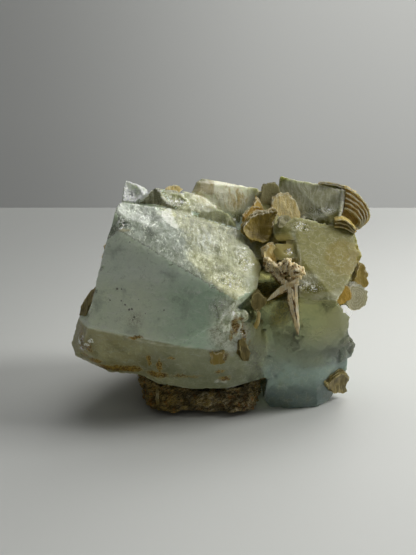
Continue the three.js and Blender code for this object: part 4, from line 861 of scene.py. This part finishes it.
def stack_of_sheets(node, count, wave, cup, corners, seed):
    chance = random.Random(seed)
    book = merged_copy(node)
    book.normal_update()
    way = across_the_sheets(book)
    centre = sum((v.co for v in book.verts), Vector()) / len(book.verts)
    heights = [(v.co - centre).dot(way) for v in book.verts]
    low, high = min(heights), max(heights)
    corners = corners or own_outline(book, way, centre)
    book.free()
    middle = sum((Vector(corner) for corner in corners), Vector()) * MM / len(corners)
    drift = Vector((chance.uniform(0.02, 0.12), 0, -0.16 if cup < 1 else -0.3)) * MM
    stack = bmesh.new()
    carry(stack, *CARRIED)
    for number in range(count):
        sheet = bmesh.new()
        layer, inward, hollow_shade = carry(sheet, *CARRIED)
        size = 1 - 0.014 * number * chance.random() - (0.025 if number % 2 else 0)
        lift = low + (high - low) * (number + 0.5) / count
        slide = drift * number + Vector(chance.uniform(-0.12, 0.12) for _ in range(3)) * MM * (number > 0)
        slide -= way * slide.dot(way)
        sheet.faces.new([
            sheet.verts.new(middle + (Vector(c) * MM - middle) * size + way * lift + slide) for c in corners])
        for _ in range(4):
            long = [e for e in sheet.edges if e.calc_length() > 0.7 * MM]
            if long:
                bmesh.ops.subdivide_edges(sheet, edges=long, cuts=1)
        for vert in sheet.verts:
            where = vert.co / MM * 1.1 + Vector((0, seed, number * 0.7))
            ragged = noise.noise(where) * 0.42 + round(noise.noise(where * 0.6) * 3) * 0.16
            ragged *= min(1, (high - low) / (1.2 * MM) + 0.4)
            vert.co += (vert.co - middle).normalized() * ragged * MM
        rim_tree = tree_of([v.co.copy() for v in sheet.verts])
        bmesh.ops.triangulate(sheet, faces=sheet.faces)
        split_long_edges(sheet, 0.6)
        tone = chance.random()
        for vert in sheet.verts:
            inside = rim_tree.find(vert.co)[2] / MM
            fall = (middle.z - vert.co.z) / MM
            vert[layer] = tone
            # Lower edges count as further in, so the pale rim shows only on top: painted shade below.
            vert[inward] = inside + max(0, fall) * 0.3
            # The hollow gets painted shade, heaviest low and to the left.
            shaded = clamped(0.5 + (middle.z - vert.co.z - (vert.co.x - middle.x) * 0.6) / MM * 0.16, 0.1)
            vert[hollow_shade] = min(1, inside / 1.5) * min(1, cup) * shaded
            bowl = 0.75 - (1 - min(1, inside / 3.2)) ** 2
            height = noise.noise(vert.co / MM * 0.4 + Vector((seed, 0, number * 0.15))) * wave
            vert.co += way * (height - bowl * cup) * MM
        thicken(sheet, way * (high - low) / count * chance.uniform(0.35, 0.7))
        join(sheet, stack)
    crease(stack, 30)
    return stack


# The books that aren't golden mica in the record.
for seed, (name, (kind, count, wave, cup, corners)) in enumerate(BOOKS.items(), 1):
    node = "muscovite_" + name
    sheets = stack_of_sheets(node, count, wave, cup, corners, seed)
    book = finished("mica_" + name, sheets, MICA[kind])
    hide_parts(node)


# ---------------------------------------------------------------- the curled book
# The shell at the upper right and the small one below it: leaves of mica bent round, open to the
# front, with thick cream edges that stand out from the brown ones between them.

def curled_leaves(groups, back, fall, seed):
    """Leaves in groups; each group runs from one arc to the next. Arcs are in x and z, in mm."""
    chance = random.Random(seed)
    shell = bmesh.new()
    carry(shell, *CARRIED)
    for first, second, leaves, starts, ends, every in groups:
        for number in range(leaves):
            share = number / leaves
            proud = number % every == 0
            front = starts + (ends - starts) * share
            front += chance.uniform(0, 0.2) if proud else chance.uniform(0.7, 1.3)
            leaf = bmesh.new()
            layer, inward, hollow_shade = carry(leaf, *CARRIED)
            rib = []
            for (ax, az), (bx, bz) in zip(first, second):
                px, pz = ax + (bx - ax) * share, az + (bz - az) * share
                rib.append(leaf.verts.new(Vector((px, front, pz + fall * (front - starts))) * MM))
            rib = [leaf.edges.new(pair) for pair in zip(rib, rib[1:])]
            depth = (back - front) * MM
            for _ in range(4):
                grown = bmesh.ops.extrude_edge_only(leaf, edges=rib)["geom"]
                verts = [g for g in grown if isinstance(g, bmesh.types.BMVert)]
                rib = [g for g in grown if isinstance(g, bmesh.types.BMEdge)]
                bmesh.ops.translate(leaf, verts=verts, vec=(0, depth / 4, fall * depth / 4))
            bmesh.ops.subdivide_edges(leaf, edges=leaf.edges[:], cuts=2, smooth=0.4)
            # Recessed leaves: a darker tone, painted shade in the hollow and no pale rim.
            tone = chance.random() * 0.3 + (0 if proud else 0.7)
            for vert in leaf.verts:
                where = vert.co / MM
                vert[layer] = tone
                vert[inward] = where.y - front + (0 if proud else 0.5)
                vert[hollow_shade] = 0 if proud else 0.35
                shift = noise.noise(where * 0.5 + Vector((share * 3, 0, 0))) * 0.25
                vert.co += Vector((shift, noise.noise(where * 0.8) * 0.35, shift * 0.7)) * MM
            bmesh.ops.recalc_face_normals(leaf, faces=leaf.faces)
            bmesh.ops.solidify(leaf, geom=leaf.faces[:], thickness=(0.34 if proud else 0.18) * MM)
            join(leaf, shell)
    crease(shell, 40)
    return shell


OUTER_LEAF = [
    (36.7, 59.2), (37.9, 58.6), (39.1, 57.8), (40.3, 56.9), (41.6, 55.7), (42.8, 54.1), (43.8, 52.3),
    (44.1, 50.6), (43.5, 48.7), (41.2, 46.4),
]
INNER_LEAF = [
    (36.6, 52.7), (37.3, 52.6), (38.1, 52.3), (38.8, 51.8), (39.6, 51.4), (40.4, 50.6), (41.2, 49.7),
    (41.5, 48.8), (41.3, 47.7), (40.4, 46.8),
]
CORE_LEAF = [
    (36.3, 50.1), (36.6, 50.1), (36.9, 50), (37.2, 49.8), (37.5, 49.5), (37.9, 49.2), (38.4, 48.8),
    (38.9, 48.4), (39.2, 47.9), (39.4, 47.5),
]
COVER_LEAF = [
    (29.3, 60.1), (30.5, 60.1), (31.7, 60), (32.8, 59.8), (34, 59.6), (35.2, 59.4), (36.4, 59.1),
    (37.6, 58.5), (38.9, 57.9), (40.1, 57.1),
]
UNDER_LEAF = [
    (29.3, 59.5), (30.5, 59.4), (31.7, 59.3), (32.9, 59.1), (34.1, 58.8), (35.3, 58.5), (36.5, 58.1),
    (37.4, 57.6), (38.3, 57), (39.2, 56.4),
]
leaves = curled_leaves([
    (OUTER_LEAF, INNER_LEAF, 17, 4.3, 5, 4), (INNER_LEAF, CORE_LEAF, 7, 6.4, 7.4, 9),
    (COVER_LEAF, UNDER_LEAF, 3, 8, 8, 2)], 11.5, -0.3, 7)
shell = finished("mica_curled_book", leaves, MICA["curled"])
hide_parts("muscovite_curled_book")

RIM_LEAF = [
    (32.9, 50.6), (33.6, 50.9), (34.5, 51), (35.3, 50.8), (36.2, 50.4), (37, 49.9), (37.7, 49.3),
    (38.3, 48.6), (39, 47.9), (39.3, 47.5),
]
SEAT_LEAF = [
    (32.6, 47.8), (33.3, 47.7), (34, 47.6), (34.7, 47.6), (35.4, 47.5), (36, 47.4), (36.6, 47.2),
    (37.2, 46.9), (37.8, 46.6), (38.4, 46.2),
]
leaves = curled_leaves([(RIM_LEAF, SEAT_LEAF, 9, -1.8, -1.4, 3)], 1.6, 0.1, 8)
shell = finished("mica_shell_sheets", leaves, MICA["worn"])
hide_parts("muscovite_shell_sheets")


# ---------------------------------------------------------------- the tan mass
# Weathered mica in the pocket: crumbs of pale tan on a bent sheet, with a blade down to the left
# and a folded sheet that hangs straight down.

crumb = merged_copy("tan_mica_mass")
everything = crumb.verts[:] + crumb.edges[:] + crumb.faces[:]
bmesh.ops.bisect_plane(
    crumb, geom=everything, dist=1e-7, plane_co=(0, 0, 37.6 * MM), plane_no=(0, 0, 1), clear_inner=True)
bmesh.ops.holes_fill(crumb, edges=[e for e in crumb.edges if e.is_boundary])
bmesh.ops.triangulate(crumb, faces=crumb.faces)
split_long_edges(crumb, 0.35)
crumb.normal_update()
tone, = carry(crumb, "tone")
for vert in crumb.verts:
    where = vert.co / MM
    lumps = noise.fractal(where * 0.95, 0.9, 2.2, 5)
    shaded_pits = max(0, noise.noise(where * 1.3 + Vector((3, 1, 7))) - 0.1)
    # The tone is painted lighter on the lumps and darker in the pits: painted shade.
    vert[tone] = 0.8 + 0.6 * lumps - 1 * shaded_pits
    vert.co += vert.normal * (lumps * 0.6 - shaded_pits * 0.8) * MM

FOLDS = [
    # the sheets of the mass: tone, lean, and the outline in mm
    (0.95, 0, [
        (20.7, -20.8, 39.6), (18.8, -21, 38.6), (17.2, -21.2, 37.9), (15.9, -21.3, 37.3),
        (14.5, -21.5, 36.1), (13.2, -21.6, 34.8), (12.1, -21.8, 33.3), (12.4, -21.9, 33.2),
        (13.7, -21.8, 34.1), (15.3, -21.6, 35.1), (16.6, -21.5, 35.9), (17.7, -21.4, 36.5),
        (19.3, -21.2, 37.3), (20.8, -21, 38.4)]),
    (0.25, 0.5, [
        (20.2, -20.3, 38.8), (17.4, -20.7, 37.3), (15.6, -20.8, 36.4), (13.8, -21.1, 34.6),
        (12.5, -21.3, 33.2), (14.4, -21.3, 33.9), (16.4, -21.1, 34.9), (18.4, -20.9, 36)]),
    (0.1, 0, [
        (11.4, -13.6, 41.9), (12.4, -13.8, 41.6), (13.9, -15.2, 40.3), (15.6, -17, 38.9), (17.3, -19, 37.7),
        (17.4, -19.2, 37), (16, -18, 37), (14.5, -16.6, 38), (12.9, -15.2, 39.6), (11.7, -14, 40.9)]),
    (0.8, 0.35, [
        (11.9, -13.5, 42.2), (12.8, -13.8, 41.7), (14.2, -15.2, 40.5), (15.8, -17, 39.2),
        (17.6, -19.1, 37.9), (17.1, -18.8, 37.6), (15.4, -17, 38.8), (13.7, -15.2, 40.1),
        (12.2, -13.8, 41.4)]),
    (0.2, 0.5, [
        (17.5, -21.6, 37.3), (17.6, -22, 35.2), (17.8, -22.5, 33.1), (18.2, -23.1, 31), (19, -23.8, 28.9),
        (19.6, -24.4, 26.8), (20.3, -24.8, 24.7), (20.8, -24.9, 24.7), (20.9, -24.6, 27),
        (20.7, -23.9, 29.6), (20.4, -22.9, 32.4), (20.3, -22.2, 35), (20.2, -21.6, 37.3),
        (19.8, -21.2, 38.6)]),
    (0.75, -0.2, [
        (17.6, -21.8, 37.5), (18.4, -21.9, 37.3), (18.8, -22.5, 34.6), (19.3, -23.3, 32),
        (19.8, -24.3, 29.1), (19.6, -24.4, 28.4), (18.8, -23.8, 29.9), (18.1, -23, 32.5),
        (17.7, -22.3, 34.9)]),
    (0.9, -0.3, [
        (19.5, -21.5, 38), (20.3, -21.5, 38.2), (20.4, -22.5, 34), (20.8, -23.9, 29.1), (21, -24.6, 26),
        (20.3, -24.4, 27.9), (19.9, -23.6, 31.2), (19.6, -22.6, 34.3)]),
    (1, -0.45, [
        (18.6, -21.9, 37), (19.1, -22, 36.7), (19.5, -22.6, 34.4), (19.2, -22.9, 33.9),
        (18.8, -22.5, 35.2)]),
    (0.7, -0.4, [
        (19.2, -24.2, 29.4), (19.9, -24.3, 29.1), (20.7, -24.9, 26.2), (20.6, -25, 24.5),
        (19.9, -24.8, 26.6)]),
]
for number, (shade, lean, corners) in enumerate(FOLDS):
    sheet = bmesh.new()
    tone, = carry(sheet, "tone")
    sheet.faces.new([sheet.verts.new(Vector(corner) * MM) for corner in corners])
    for _ in range(3):
        long = [e for e in sheet.edges if e.calc_length() > 0.6 * MM]
        bmesh.ops.subdivide_edges(sheet, edges=long, cuts=1)
    bmesh.ops.triangulate(sheet, faces=sheet.faces)
    split_long_edges(sheet, 0.5)
    for vert in sheet.verts:
        where = vert.co / MM
        push = noise.noise_vector(where * 0.8 + Vector((number, 0, 0))) * 0.16
        push.y += lean + noise.noise(where * 0.35 + Vector((number * 3, 0, 0))) * 0.5
        vert[tone] = shade
        vert.co += push * MM
    thicken(sheet, Vector((0.02, -0.22, 0.05)) * MM)
    join(sheet, crumb)
crease(crumb, 35)

weathered = Stone("weathered mica")
lumps = weathered.grain(1.2, 5, roughness=0.75)
lines = weathered.grain(0.5, 4, None, (1.5, 1, 0.14), roughness=0.7)
pale = blend((0.86, 0.67, 0.34), (0.98, 0.88, 0.64), ease(lines, 0.56, 0.4))
brown = blend((0.15, 0.08, 0.022), (0.36, 0.22, 0.075), ease(lumps, 0.4, 0.6))
# The carried tone holds the painted shade of the pits as well as the tones of the sheets.
paleness = weathered.carried("tone") + (lumps - 0.5) * 2.4 + (lines - 0.5) * 1
tone = blend(brown, pale, ease(paleness, 0.2, 0.62))
normal = weathered.add("Bump", None, {"Height": lumps * 0.4 + lines * 0.25, "Distance": MM})
weathered.show(weathered.add("BsdfPrincipled", None, {
    "Base Color": tone, "Roughness": 0.55 + 0.2 * lumps, "Normal": normal, "Specular IOR Level": 0.3,
    "Subsurface Weight": 0.3, "Subsurface Radius": (1, 0.9, 0.7), "Subsurface Scale": 0.001}))
mass = finished("tan_mass", crumb, weathered.material)
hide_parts("tan_mica_mass")


# ---------------------------------------------------------------- the table, lights and camera
# A pale table that meets a grey wall well behind the specimen, soft light from above and behind
# on the right, and a light that washes the wall.

def backdrop(name, corners, dim, bright, span, far, roughness, painted_glow):
    """A plane whose colour is painted brighter to the right over the span and `far` times as bright behind:
    painted light.
    """
    cloth = Stone(name)
    across, away = cloth.axis("X"), cloth.axis("Y")
    shade = blend(dim, bright, ease(across - away * 0.3, *span))
    shade = blend(shade, tuple(c * far for c in dim), ease(away, -10, 230) * 0.8)
    cloth.show(cloth.add("BsdfPrincipled", None, {
        "Base Color": shade, "Roughness": roughness, "Emission Color": shade, "Emission Strength": painted_glow}))
    sheet = bmesh.new()
    bmesh.ops.contextual_create(sheet, geom=[sheet.verts.new(corner) for corner in corners])
    data = data_of(name, sheet)
    data.materials.append(cloth.material)
    plane = placed(name, data)


# Table and wall: painted light, brighter to the right and changing behind, with a painted glow on the wall.
TABLE_EDGE, WALL = 0.23, 0.62
backdrop(
    "table", [(-3, -2, 0), (3, -2, 0), (3, TABLE_EDGE, 0), (-3, TABLE_EDGE, 0)],
    (0.35, 0.356, 0.345), (0.6, 0.607, 0.587), (-170, 60), 0.72, 0.6, 0)
backdrop(
    "wall", [(-3, WALL, -0.6), (3, WALL, -0.6), (3, WALL, 2.5), (-3, WALL, 2.5)],
    (0.21, 0.212, 0.207), (0.9, 0.905, 0.88), (-430, -90), 1.2, 0.9, 0.13)


def softbox(name, place, aim, size, power, tint):
    light = bpy.data.lights.new(name, "AREA")
    light.shape = "RECTANGLE"
    light.size, light.size_y = size
    light.energy = power
    light.color = tint
    lamp = placed(name, light)
    lamp.location = place
    lamp.rotation_euler = (Vector(aim) - Vector(place)).to_track_quat("-Z", "Y").to_euler()


softbox("window", (0.28, 0.42, 0.4), (0, 0, 0.02), (0.55, 0.42), 1.55, (1, 0.995, 0.97))
softbox("ceiling", (0.06, 0.32, 0.72), (0, 0, 0), (0.6, 0.4), 1.6, (1, 1, 0.99))
softbox("wall wash", (0.7, 0.15, 0.5), (0.18, WALL, 0.2), (0.4, 0.4), 8, (1, 1, 0.98))

# The room's light: a dim sky that is brighter near the horizon and overhead.
world = bpy.data.worlds.new("room light")
world.use_nodes = True
sky = world.node_tree.nodes
background = sky["Background"]
place = sky.new("ShaderNodeTexCoord")
height = sky.new("ShaderNodeSeparateXYZ")
links = world.node_tree.links
links.new(place.outputs["Generated"], height.inputs["Vector"])
total = sky.new("ShaderNodeMath")
for socket, (low, high, dim, bright) in enumerate([(0, 0.25, 0.4, 0.07), (0.8, 1, 0, 0.2)]):
    band = sky.new("ShaderNodeMapRange")
    for name, value in (("From Min", low), ("From Max", high), ("To Min", dim), ("To Max", bright)):
        band.inputs[name].default_value = value
    links.new(height.outputs["Z"], band.inputs["Value"])
    links.new(band.outputs["Result"], total.inputs[socket])
links.new(total.outputs["Value"], background.inputs["Strength"])
background.inputs["Color"].default_value = (0.98, 1, 0.98, 1)
bpy.context.scene.world = world
bpy.context.scene.view_settings.view_transform = "Standard"

lens = bpy.data.cameras.new("camera")
lens.lens = 54
lens.sensor_width = 36
camera = placed("camera", lens)
camera.location = (-0.00383, -0.2348, 0.1091)
camera.rotation_euler = (math.radians(72), 0, 0)
bpy.context.scene.camera = camera
